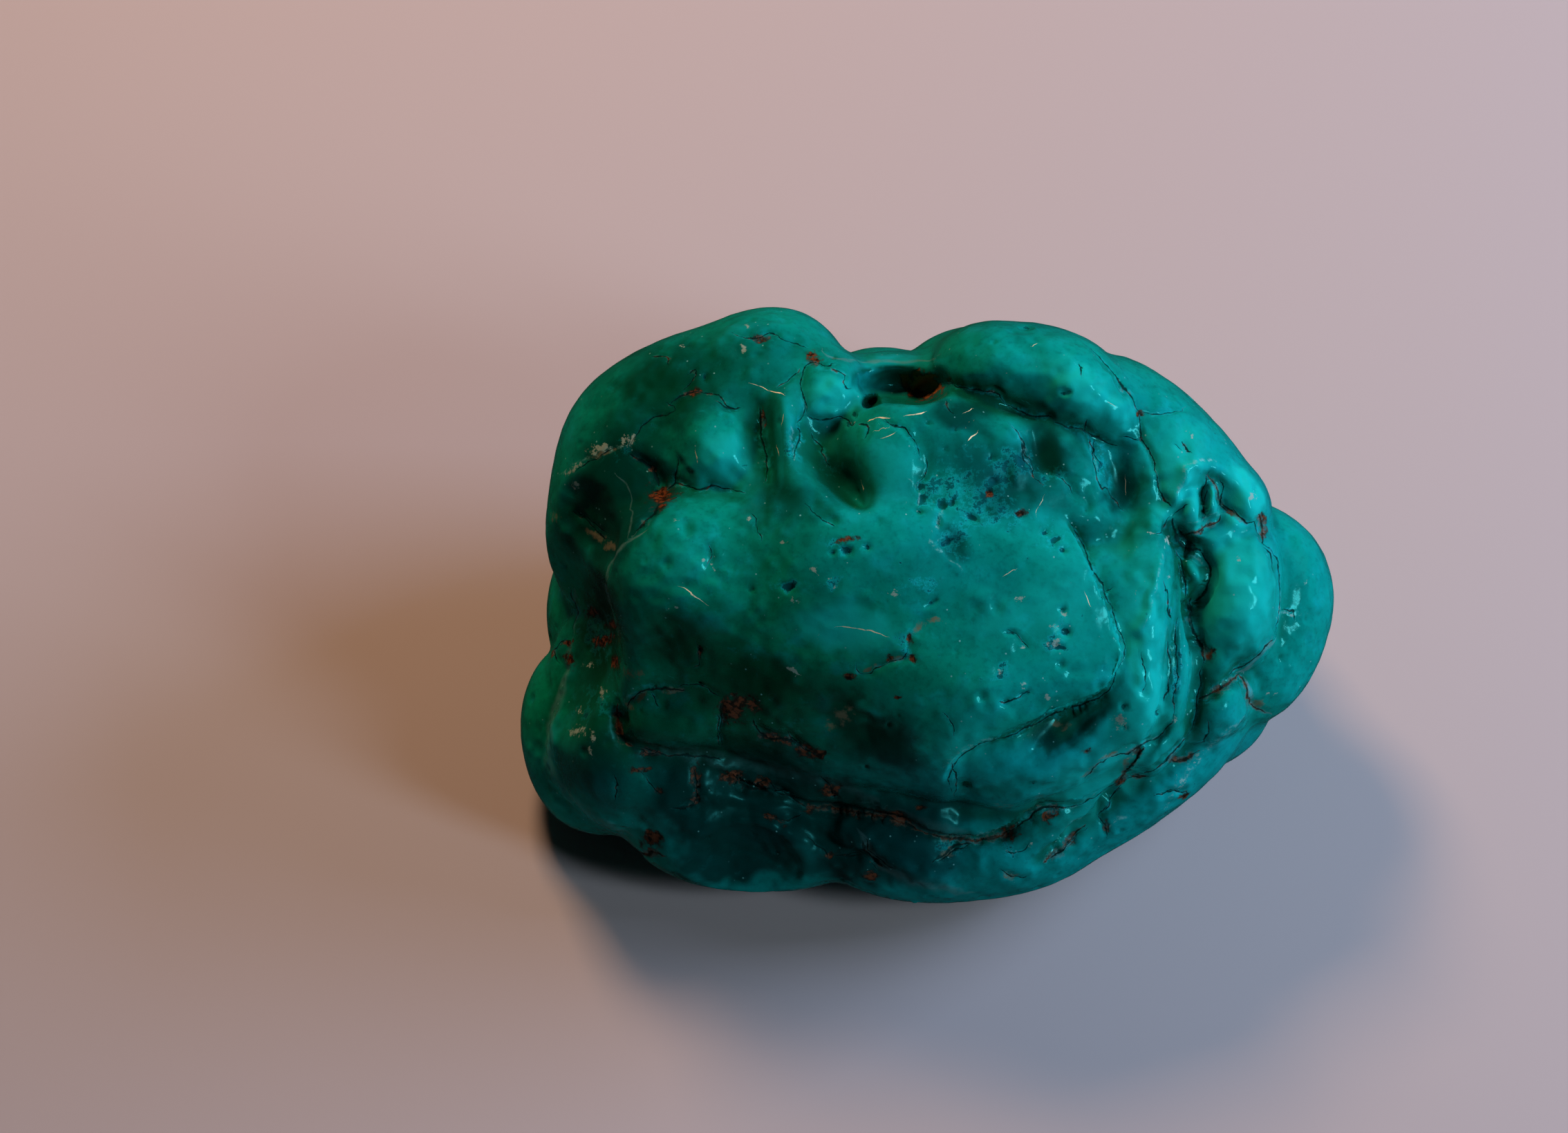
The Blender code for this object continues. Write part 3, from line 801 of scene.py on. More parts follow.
SEAMS = (
    # The broad plate's edge, and the seam under the slab's rim.
    Seam((12.5, 8, 13.7, 6.3, 14.6, 4.3, 16, 1, 17, -1, 17.9, -4, 17.3, -6), 0.16, 0.3, valley=0.12),
    Seam((17.3, -6, 16.4, -8, 14, -9.5, 11, -10.5, 8.5, -11.7, 5.5, -12.7), 0.2, 0.35, valley=0.25),
    Seam((5.5, -12.7, 3.5, -13.6, 2.4, -14.5, 1.4, -16, 1.6, -17.6), 0.14, 0.25),
    Seam((-19, -16.5, -17.5, -17.7, -15, -17.8, -13, -19, -12, -19.5), 0.24, 0.4, SOILED, 0.5),
    Seam((-12, -19.5, -7, -20, -4, -20.5, -2, -21.3, 0, -22.3), 0.32, 0.5, RUSTY, 0.5),
    Seam((0, -22.3, 3, -22.7, 5, -22.7, 7, -22.2, 8, -21.3), 0.34, 0.45, RUSTY, 0.45),
    Seam((8, -21.3, 10, -20, 11, -19.5, 14, -19.3), 0.22, 0.45, SOILED, 0.4),
    Seam((14, -19.3, 16, -18.2, 18, -17), 0.1, 0.25),
    # The folds on the right.
    Seam((16.8, -14.6, 18.5, -14, 20, -13.3, 22, -12.2, 22.9, -10.8), 0.22, 0.45, SOILED, 0.25),
    Seam((22.9, -10.8, 22.9, -8.5, 23.2, -6.5, 22.9, -5, 23, -3, 23.1, -1), 0.13, 0.25, SOILED, 0.12),
    Seam((22, 1, 22.2, 0, 22.4, -1.6), 0.08, 0.1),
    Seam((23.3, 5, 23.9, 3, 24, 0.6), 0.15, 0.35, SOILED),
    Seam((23.5, 7, 24.1, 6.2, 25, 5.4), 0.55, 0.6),
    Seam((24.5, 0.7, 24.7, -0.7), 0.5, 0.6),
    Seam((24.3, 0.2, 24.6, -1.2, 25, -3, 25.7, -4.3, 25.9, -5.5), 0.38, 0.75, SOILED, 0.3),
    Seam((25.9, -5.5, 25.5, -7.5, 25.3, -9, 25.1, -11, 24.4, -12.8), 0.14, 0.3, valley=0.15),
    Seam((24.4, -12.8, 23, -14.3, 21, -15.7, 18.8, -16.6), 0.16, 0.35, SOILED, 0.3),
    # The seams between the knobs at the right end.
    Seam((25.5, -9, 26.5, -8.7, 27.5, -8, 28.5, -7.3, 29.3, -6.8), 0.36, 0.35, RUSTY, 0.3),
    Seam((29.3, -6.8, 30, -7.8, 30.3, -8.8, 31.2, -9.8, 32.6, -10.4), 0.24, 0.25, RUSTY, 0.2),
    Seam((31.5, 6, 32.3, 5, 33, 4, 33.2, 1.5, 33.1, -1, 33, -3), 0.1, 0.15, valley=0.2),
    Seam((33, -3, 31.8, -4, 31, -5.2, 29.5, -6, 28.3, -6.6), 0.14, 0.2, SOILED, 0.2),
    Seam((22.8, 8.3, 22.9, 7.3, 23.5, 6, 24.2, 5.4, 25.6, 5), 0.46, 0.85, valley=0.2),
    Seam((25.6, 4.9, 26.4, 3.6, 26.4, 1.9, 25.6, 0.7, 24.6, 0.2), 0.3, 0.65, SOILED, 0.1),
    Seam((26.2, 12.3, 26.8, 11.5, 27.2, 10.3, 27.7, 9.5, 28.5, 9, 30, 7.8), 0.22, 0.4, RUSTY, 0.2),
    Seam((25.5, 8, 25.7, 9.5, 26.1, 10.8), 0.13, 0.4),
    Seam((24.2, 6.5, 25.8, 7.4, 27, 7.9, 27.3, 8.5), 0.22, 0.35, RUSTY),
    Seam((22.8, 8.5, 23.4, 9, 24.1, 9.4), 0.12, 0.25),
    Seam((31, 8.6, 31.5, 7.4, 31.5, 6), 0.26, 0.25, RUSTY),
    Seam((31.6, 5.6, 32.4, 4.3), 0.08, 0.1),
    # The long crack down the right of the roll.
    Seam((15, 24.3, 16, 23.2, 17.2, 21.6, 18.4, 20, 19.3, 18.5, 19.8, 18.1), 0.13, 0.3, SOILED, 0.25),
    Seam((19.8, 18.1, 21.5, 18.1, 24.5, 18.8), 0.1, 0.22, SOILED),
    Seam((19.7, 17.9, 19.7, 15.8, 20.5, 14.5, 21, 12.5), 0.15, 0.3, SOILED, 0.22),
    Seam((21, 12.5, 21.3, 11, 21.8, 9.9, 22.5, 9.2), 0.17, 0.32, SOILED, 0.25),
    Seam((17.5, 15.8, 19.5, 15.5), 0.08, 0.12),
    Seam((22.8, 15.4, 23.6, 14.5), 0.09, 0.15),
    # The crease under the roll, and the shelf's broken edges.
    Seam((1.3, 21, 3, 20.3, 5.5, 20, 7, 19), 0.15, 0.25, SOILED, 0.08),
    Seam((7, 19, 8.5, 18.3, 9.3, 17.9, 11, 17.8, 11.5, 17.1), 0.2, 0.3, valley=0.08),
    Seam((11.5, 17.1, 13, 16.7, 14.5, 16.2, 16, 15.5, 17.5, 15), 0.22, 0.3, valley=0.1),
    Seam((14.5, 17.5, 14.3, 16.2), 0.14, 0.2, SOILED),
    Seam((7.4, 16.8, 8.4, 15.2, 8.4, 13.8, 9.2, 12.5), 0.12, 0.15),
    Seam((15.2, 15.6, 15.3, 14, 16.2, 12.8), 0.14, 0.18),
    Seam((15.8, 1, 16.8, 1.6), 0.08, 0.1),
    # The left of the slab.
    Seam((-30, -9.5, -29.8, -12, -29.7, -13, -28.5, -13.8), 0.28, 0.3, RUSTY, 0.5),
    Seam((-28.5, -13.8, -26.5, -14, -24, -14.5, -20, -14.9), 0.2, 0.28, SOILED, 0.5),
    Seam((-29, -10, -28, -8.5, -27, -8, -25, -8, -23.5, -8.2), 0.24, 0.2, SOILED, 0.25),
    Seam((-26.7, -8.2, -26.3, -9, -26, -9.8), 0.16, 0.12, SOILED),
    Seam((-20.2, -9, -20, -11, -20, -13.8), 0.12, 0.18),
    Seam((-17, -11, -16.2, -12.5, -13.5, -12.8, -12, -13.8, -11, -14.2), 0.3, 0.2, SOILED, 0.3),
    Seam((-22.7, -15.8, -22.5, -17.5, -22.4, -19.2, -24.8, -19.5), 0.34, 0.15, SOILED),
    # The shoulder.
    Seam((-25, 19, -23.5, 20, -22.3, 20.1), 0.16, 0.25, SOILED, 0.2),
    Seam((-20.6, 19.4, -19.4, 18.6, -18.2, 18.4), 0.12, 0.2, SOILED),
    Seam((-28.5, 14.3, -27, 13, -26, 11.8, -25.5, 10.5), 0.3, 0.5, SOILED, 0.3),
    Seam((-26, 9.5, -27, 7.8, -28, 7), 0.24, 0.25, SOILED),
    Seam((-25.4, 10.6, -24.4, 11.6, -22.4, 11, -20, 11, -17.6, 10.7), 0.15, 0.26, SOILED, 0.25),
    Seam((-16.4, 18.7, -16.3, 17, -16, 15.2, -15.6, 13.4, -15.8, 11.6), 0.22, 0.35, SOILED),
    Seam((-12.1, 19.5, -12.2, 18, -12.9, 16.9), 0.1, 0.15, SOILED),
    Seam((-12.9, 16.9, -12.6, 15.5, -13.1, 13.8), 0.14, 0.2, valley=0.3),
    Seam((-5, 17.5, -3, 16.5, -1.7, 15, -1.5, 13.5), 0.08, 0.12),
    Seam((-34, 12.5, -32.5, 13.6, -30, 14.8), 0.12, 0.1, SOILED),
    Seam((-34, 8.6, -32, 7.6, -30.4, 6.6), 0.1, 0.1, SOILED),
    # The low front and the layers at the lower right.
    Seam((20.3, -13.6, 19.5, -14.4, 18.9, -15.6, 18, -16.8), 0.4, 0.35, RUSTY),
    Seam((19.2, -16.3, 21, -16.6), 0.2, 0.2, RUSTY),
    Seam((16, -20.4, 17.5, -18.5, 18.5, -17.5), 0.18, 0.35, valley=0.4),
    Seam((16, -20.5, 16.9, -21.2, 17, -22.4), 0.28, 0.22, SOILED),
    Seam((11, -24.8, 12, -24, 13.2, -23, 14.2, -22, 15, -21.3), 0.34, 0.25, RUSTY, 0.3),
    Seam((25.8, -14.2, 24.4, -14.9, 23, -15), 0.26, 0.18, RUSTY),
    Seam((24.8, -18.3, 23.2, -17.8, 21.6, -18.4), 0.22, 0.15, SOILED),
    Seam((0.1, -24.9, 1, -24.3, 2.5, -23.2, 4, -23), 0.3, 0.2, SOILED, 0.2),
    Seam((-8.8, -24.3, -6.8, -24.1), 0.26, 0.12, SOILED),
    Seam((-6.6, -23, -5.6, -24.2, -4.6, -25.2), 0.3, 0.15, SOILED, 0.3),
    Seam((-28.5, -24.2, -26.8, -24.2, -25.4, -24.3), 0.24, 0.15, RUSTY),
)

MATRIX_SPOTS = spots(
    (7.4, -22, 1.1, 0.85, 1.1, 40), (11.5, -20.1, 1.4, 0.6, 1, 60), (19.5, -13.9, 0.9, 0.6, 1, 20),
    (18.2, -16.8, 0.9, 0.5, 1, 30), (-3.6, -20.4, 1.7, 0.8, 1.1, -20), (-7.6, -20.1, 1.4, 0.5, 0.9, -5),
    (-11.6, -19.7, 1, 0.4, 0.8), (-9.7, -17.8, 1.2, 0.8), (-19.2, -16.6, 1.2, 0.8, 1, 20), (-15.9, -17.2, 1.1, 0.7),
    (-17.6, -17.6, 0.8, 0.4, 0.8), (-12, -13.9, 1.1, 0.7), (-15.4, -12.5, 1.7, 0.5, 0.9, -8),
    (-13.8, -12.9, 1.1, 0.5, 0.9, -10), (-10.9, -14.1, 1.1, 0.6), (-18.9, -9.7, 1.7, 1.5, 1, 40),
    (-17.4, -9.4, 1.3, 0.9, 0.8, -30), (-26.6, -22.7, 1.2, 1, 1.1), (-27.2, -24.2, 1.5, 0.4, 0.9),
    (-26.8, -14.2, 1.3, 0.45), (-29.8, -12.2, 0.45, 1.2), (-22.6, -16.6, 0.6, 1.2, 0.8), (-27, -15.9, 0.8, 0.35, 0.8),
    (-29.7, -10.6, 0.45, 0.5), (-25.6, 10.3, 1.5, 1.1, 0.5, 30), (-26.6, 12.7, 0.5, 0.4),
    (-25.8, 9.2, 0.9, 0.5, 0.5, 20), (-16.1, 17.6, 0.35, 1), (-22.6, 20.1, 0.7, 0.35, 0.7),
    (-16.3, 25.2, 1.1, 0.4, 1, -5), (-11.2, 23.2, 0.7, 0.7, 0.8), (-0.8, 20.9, 2, 1.6, 1.2),
    (-2.5, 21.2, 0.5, 1, 1, 20), (19.8, 18.1, 0.7, 0.35), (19.7, 15.6, 0.3, 0.4), (26.2, -4.6, 0.7, 0.9, 1, 20),
    (31.5, 8.2, 0.7, 0.5), (31.7, 7, 0.4, 0.7), (28.4, 8.9, 0.8, 0.4, 1, -35), (25.4, 7.2, 0.9, 0.35, 1, 30),
    (25, -2.6, 0.35, 0.7), (23.2, -14.8, 0.7, 0.5), (24.4, -18.6, 0.7, 0.5), (17, -21.4, 0.5, 0.8),
    (13.6, -22.6, 1, 0.6, 1, 45), (-30.4, -2, 0.8, 0.5), (-31.5, -3.5, 1.2, 0.7, 0.9, 20), (-32.6, -0.8, 1, 0.6, 0.8),
    (-30.2, -5.6, 0.6, 0.8, 0.8), (-35.1, -3.8, 0.8, 0.4), (-36.5, -4.9, 0.5, 0.5), (-34.7, -5.4, 0.6, 0.8, 0.8),
    (-28, -15.9, 1.1, 0.4, 0.7), (-15, -20.6, 1.2, 0.5, 0.8, -20), (-5.7, -26.1, 0.8, 0.6, 0.9),
    (-21.8, -4.4, 0.3, 0.6, 0.8), (-8, -6.7, 0.8, 0.4), (-3.4, -8.7, 0.5, 0.3), (-4.3, -5, 0.5, 0.5, 0.8),
    (-2, -5, 0.5, 0.6, 0.8), (-2.3, -3.2, 0.35, 0.7, 0.8, 20), (-8.4, 6, 1.1, 0.35, 0.8), (5.2, 10.4, 0.4, 0.4, 0.8),
    (8, 8.6, 0.6, 0.4, 0.8), (1.7, 21.3, 0.3, 0.3), (5.4, 20, 0.6, 0.25), (27.4, -7.9, 1, 0.4, 1, 25),
    (-22.4, -18.6, 0.5, 0.7, 0.9), (-26, -18, 0.4, 0.3, 0.7), (-0.9, -19.5, 0.6, 0.3, 0.9),
    (14.5, -13.9, 0.5, 0.3, 0.4), (-9.5, -24.3, 1, 0.5, 0.7),
)

TAN_SPOTS = spots(
    (-0.6, 21, 2.2, 1.6), (-2.4, 21.4, 0.9, 1.3), (-32, 6.6, 1.6, 0.6, 1, -15), (-30.6, 5.7, 1, 0.6),
    (-36, 8.3, 0.8, 0.7, 0.6), (-24.5, -8.2, 1.5, 0.5), (-27.5, -8.5, 1, 0.5, 1, 50), (-28.6, -9.6, 0.6, 0.6, 1, 50),
    (-8.6, -10.4, 1.4, 1.1, 0.8, 30), (-9.6, -11.4, 1.2, 0.7, 0.7, 30), (-28.5, -6.6, 1.6, 0.7, 0.6),
    (12, -11.3, 1.4, 0.6, 0.7, -10), (-31, 14.3, 1.6, 0.5, 0.8, 10), (-15, -12.7, 1.3, 0.5, 0.8),
    (7.8, -26.1, 1.4, 0.6, 0.9, -20), (1.6, -24, 1.4, 0.5, 0.9, 35), (3.2, -22.9, 1.4, 0.4, 0.9),
    (-3.6, -5, 1.3, 0.5, 0.8), (-6, -6, 0.8, 0.3, 0.8, 20), (0, -1.6, 1, 0.3, 0.8, 15),
    (-1.7, -2.3, 0.8, 0.5, 0.8, 40), (18.5, -15, 1, 0.5, 0.9, 60), (16.8, -14.4, 1.2, 0.3, 0.8, 15),
    (10, -19.5, 1.6, 0.3, 0.8, 15), (6.6, -19.2, 1.4, 0.4, 0.6), (14.8, -15.9, 1.2, 0.3, 0.6, 50),
    (31.6, -9.6, 1.2, 0.7, 0.8, -10), (32, -3.9, 1.2, 0.3, 0.8, 45),
)

# Chalky scuffs; the small pale spots on the tip, the big knob and the inner fold are painted highlights.
CHALK_AND_PAINTED_HIGHLIGHT_SPOTS = spots(
    (-34, 13, 1.6, 0.5, 1, 35), (-31.6, 14.8, 1.8, 0.8), (-28.8, 15.6, 1.2, 1, 0.9), (-33.8, 11.4, 1, 0.6),
    (-32.2, -12.6, 0.5, 1.2, 1, 10), (-34, -12.2, 1.3, 0.8, 0.9), (-31.4, -8.5, 0.5, 1, 1, 10),
    (-33.5, -10.2, 0.7, 0.6, 0.8), (-33, -6, 0.9, 0.5, 0.9), (-32.6, -14.2, 0.5, 0.8), (-23.7, 24.4, 0.6, 0.3),
    (-18.1, 24.2, 0.4, 0.5), (-17.5, 26.6, 0.4, 0.4), (-24, 8, 0.6, 0.3), (-17.4, 8.2, 0.3, 0.6),
    (-14.2, 5.7, 1.1, 0.3), (-21.6, 4.2, 0.4, 0.3), (-20.6, 3.9, 0.3, 0.9, 0.8, 20), (-11.3, 3.2, 0.5, 0.4),
    (-10, 2.6, 0.5, 0.3), (-9.3, 1.8, 0.4, 0.5), (-13, 0.4, 0.5, 0.6), (-10.7, -3.2, 0.5, 0.4),
    (-13, -6.2, 1.2, 0.5, 1, -10), (-24.5, -0.4, 1.2, 0.4, 0.9), (-3.9, 1, 0.8, 0.5), (7.9, 0.5, 0.7, 0.5),
    (11.8, -0.8, 0.6, 0.5), (11, -2, 1.1, 0.4), (13.4, -1.5, 0.4, 0.3), (11.2, -3.5, 1, 0.5), (4.9, -7.1, 0.6, 0.35),
    (6, -6.3, 0.4, 0.5), (8.5, -7.6, 0.55, 0.45), (7.2, -2.8, 0.6, 0.25), (8.4, -4, 0.5, 0.25),
    (10.8, -8.8, 0.5, 0.6, 0.8), (3.8, -0.7, 0.35, 0.35), (17.6, -10.8, 0.9, 1.3, 0.9, 20), (22, 5.9, 0.7, 0.7),
    (21.9, 2.5, 0.5, 0.4), (29.2, 4.2, 0.6, 0.6), (36.2, 2, 0.6, 0.5), (34.4, -0.9, 1.4, 0.3, 0.8, -5),
    (33.1, -0.6, 0.35, 1.2, 0.9), (18.7, 0.9, 0.3, 0.8, 0.8, 10), (30.4, 10.2, 0.5, 0.7),
    (24.3, 16, 0.8, 0.4, 0.8, -20), (33, -8.5, 1, 0.4, 0.7, 10), (24, -17, 0.7, 1, 0.8, -40),
    (25.6, -14.9, 1.2, 0.4, 0.8, 40), (1.2, 15.8, 0.5, 0.2, 0.8, 10), (-7.6, 17.2, 0.6, 0.25, 0.8),
    (6.6, 21.7, 0.35, 0.25), (20.6, 6.8, 0.9, 0.25, 1, 5), (23.1, -10.8, 0.5, 0.6, 0.9), (18.6, -14.4, 0.5, 0.6, 0.9),
    (7.8, -23.6, 0.9, 0.4, 0.7, -20), (9.8, -23.1, 0.3, 0.2),
)

GRIT_SPOTS = spots(
    (4, 9.5, 6, 3.4, 1.5, -10), (7.5, 13, 3, 2.4, 1.5), (2.2, 6.6, 2.2, 2.6, 1.4), (-0.4, 9.6, 1.8, 2.6, 1.6, 10),
    (-9.4, 2.2, 2.6, 1.2, 0.9, 10), (5.8, -6.2, 1.8, 1.6, 0.9), (11.6, 5.6, 1.6, 2, 1.1), (-1.5, 1.4, 2.6, 2.2, 0.8),
    (4, 11, 8, 4.5, 1, -10), (-0.5, 10, 2.2, 4, 1.2, 20), (2, 6.5, 3, 3.4, 0.9), (11, 6, 2, 3, 0.9),
    (11.3, -2.5, 2.2, 2.6), (-32, -3, 2.6, 4.5, 1.1), (-8.5, 5.6, 3, 1.8, 0.9), (-14, 1.6, 1.4, 0.9, 0.9),
    (-3, -4, 4, 3, 0.8), (17.6, -10.8, 1.5, 1.6), (2.5, -23, 3.5, 1.2, 1.2, 20), (-13, 15, 1.4, 3.5, 0.9),
    (23.2, -6, 0.9, 6), (7.7, -23.5, 1.6, 1.2), (-31.5, -10, 3.5, 5, 0.7), (-9.6, -17.8, 1.6, 1.6),
    (11, 12.4, 2.5, 2, 0.9), (-30, 14.5, 4, 1.6, 0.9, 10), (16, 13, 1.2, 3, 0.8, 20),
)

PIT_SPOTS = spots(
    (-13.7, 1.6, 0.75, 0.5), (-9.6, 4.9, 0.45, 0.35), (-8.2, 5, 0.8, 0.5), (-6.4, 5.3, 0.5, 0.5), (-1.4, 11, 0.5, 0.7),
    (-1.2, 9.8, 0.7, 0.45, 1, 20), (-1.6, 8.7, 0.45, 0.4), (0.6, 9.2, 0.7, 0.6), (1.6, 9.5, 0.45, 0.5),
    (3.6, 8.1, 0.9, 0.4, 1, -20), (5.3, 13.8, 0.6, 0.5), (5.6, 11.6, 0.7, 0.6), (8.2, 13.4, 0.5, 0.8, 1, 15),
    (5.2, 10.6, 0.4, 0.4), (8, 8.4, 0.6, 0.45), (10.4, 6.9, 0.4, 0.4), (11.3, 6.1, 0.7, 0.4, 1, 20), (12, 5, 0.4, 0.4),
    (0.3, 7.6, 0.3, 0.8, 1, 10), (1, 5.8, 0.8, 0.4, 1, 30), (11.9, -0.4, 0.5, 0.5), (12.3, -2.6, 0.7, 0.6),
    (7, -2.7, 0.7, 0.3), (11.6, -3.9, 0.8, 0.35), (8.4, -8.3, 0.9, 0.3, 1, 15), (6.6, -9.1, 0.5, 0.25, 1, 30),
    (-4.2, -11.1, 0.3, 0.3), (-6.3, -15.5, 0.3, 0.25), (-10, -16.6, 0.5, 0.35), (-9.5, -17.8, 0.35, 0.3),
    (-9.3, -18.4, 0.5, 0.3), (3.2, -17.4, 0.8, 0.4, 1, 20), (4.6, -23, 0.5, 0.25), (2, -23.5, 0.35, 0.25),
    (13.1, -22.9, 0.3, 0.3), (17.9, -9.6, 0.4, 0.6, 1, 20), (18, -11.6, 0.3, 0.3), (21.2, -10.2, 0.35, 0.7, 1, -20),
    (23, 1.8, 0.3, 0.3), (-8, 17, 0.4, 0.4), (-7.4, 17.9, 0.3, 0.4), (-0.6, 17, 0.35, 0.3), (2, 16.4, 0.4, 0.3),
    (-21.6, 21.6, 0.5, 0.6), (-9.5, 23.5, 0.4, 0.4), (-21.9, -4.3, 0.3, 0.5), (-22, -7.6, 0.4, 0.3),
    (-0.3, 0.2, 0.9, 0.35, 1, 30), (12.4, 20, 0.7, 0.5), (8.8, 26.2, 0.9, 0.3), (9.4, -17, 0.6, 0.25, 1, 20),
    (15.8, 12.9, 0.35, 0.5),
)


@dataclass(frozen=True)
class Fold:
    """A soft ridge, or below 0 a soft groove, along a path on the face."""

    path: Path
    width: float
    height: float
    taper: float = 0.15
    wander: float = 0.45

    def rise(self, places: Array) -> Array:
        """How far the fold lifts each place.

        Args:
            places: The u and v of each point.

        Returns:
            The lift at each place.
        """
        aside, along = beside_path(places, self.path)
        ends = ease(along / self.taper) * ease((1 - along) / self.taper)
        return self.height * ends * np.exp(-((aside / self.width) ** 2))


FOLDS = drawn(
    Fold,
    # Layers along the front.
    (0.8, 0.3, -29, -12.5, -26, -14, -22, -14.8, -15, -16.3, -8, -17.5, 0, -20.5, 5, -21.5, 8, -21),
    (1, -0.55, -25, -19.6, -22, -19.9, -18, -19.6, -15, -20.6, -12.5, -21.2, -10, -22.4, -5, -25.4, -1, -27.2),
    (0.8, 0.35, -23.5, -18.8, -19, -18.6, -14.5, -19.6, -12, -20.3, -9, -21.5, -6.5, -22.9, -4, -24.8, 0, -26.3,
     4, -27),
    (0.8, 0.35, -33, -2.5, -34.3, -5, -35.2, -8, -36.2, -12, -36.6, -15.5, -34.5, -19, -31.5, -21.3, -28, -22.6),
    (0.7, -0.4, -34.8, -3.5, -35.8, -6.5, -37, -11, -37.8, -15.5, -36, -19, -33, -21.5),
    (0.9, -0.3, 1.5, -16.2, 4, -17.5, 8, -17.8, 12, -17, 15.5, -15.3),
    (0.6, -0.4, 8.5, -24.9, 11, -24.6, 13.2, -23, 15, -21.3, 16.8, -19.4, 18.5, -17.5),
    (0.7, 0.35, 31.8, -10, 30, -10.8, 28, -12.5, 26, -14.3, 24, -16.2, 22.5, -18, 21.8, -19.8),
    # The shoulder, and the lip beside the pointed hollow.
    (0.6, -0.25, -19, 24.5, -16.5, 25.2, -13.5, 24.4, -11.5, 23.2, -9.5, 22.6),
    (0.9, -0.25, -28, 15.5, -25.5, 16.8, -24.6, 14.5, -23.8, 11.8),
    (0.9, -0.25, -1.5, 16.5, -0.8, 13.5, -1, 11.2),
    (0.4, -0.25, -11.4, 9.4, -10.2, 8.6, -9.6, 7.4),
    # The broken shelf under the roll, and dents in the plate.
    (0.45, 0.25, 7.2, 17.2, 7.9, 15.6, 8.6, 14, 9.3, 12.4, 10.5, 11.2),
    (0.45, 0.25, 13.2, 16.4, 14.4, 14.5, 15.6, 12.9, 16, 11, 17.2, 9.6),
    (0.8, -0.3, 2.5, 17.5, 4.5, 15.2, 6.5, 13.8, 7.2, 11.2, 9.5, 9.6),
    (0.6, -0.3, 10.5, 12.8, 12.6, 12, 13.8, 10.2, 15.2, 8.9),
    (0.5, -0.22, 0.5, -1.5, -1.5, -2, -2.3, -3, -2, -5, -4.5, -5.1, -6, -6, -7.4, -6.5),
    (0.6, -0.15, -24, 8, -21.5, 6, -20.3, 3.5, -20.8, 1.5),
    (0.6, 0.12, -0.8, 9.5, -0.1, 7.5, -0.4, 5.4, 1.2, 4, 3, 2.8),
    # The folds and knobs on the right.
    (0.45, 0.3, 21.9, 5.4, 21.2, 3, 20.4, 0.5, 19.6, -1.6, 18.9, -3.2),
    (0.5, 0.3, 26.5, 13, 24.2, 12.7, 23, 11, 22.7, 9),
    (0.45, 0.2, 33.3, -2.9, 31.8, -4.2, 30.6, -5.6, 29.3, -6.4),
    (0.3, 0.1, 33.3, -1, 35, -0.7, 36.4, -1.1),
)
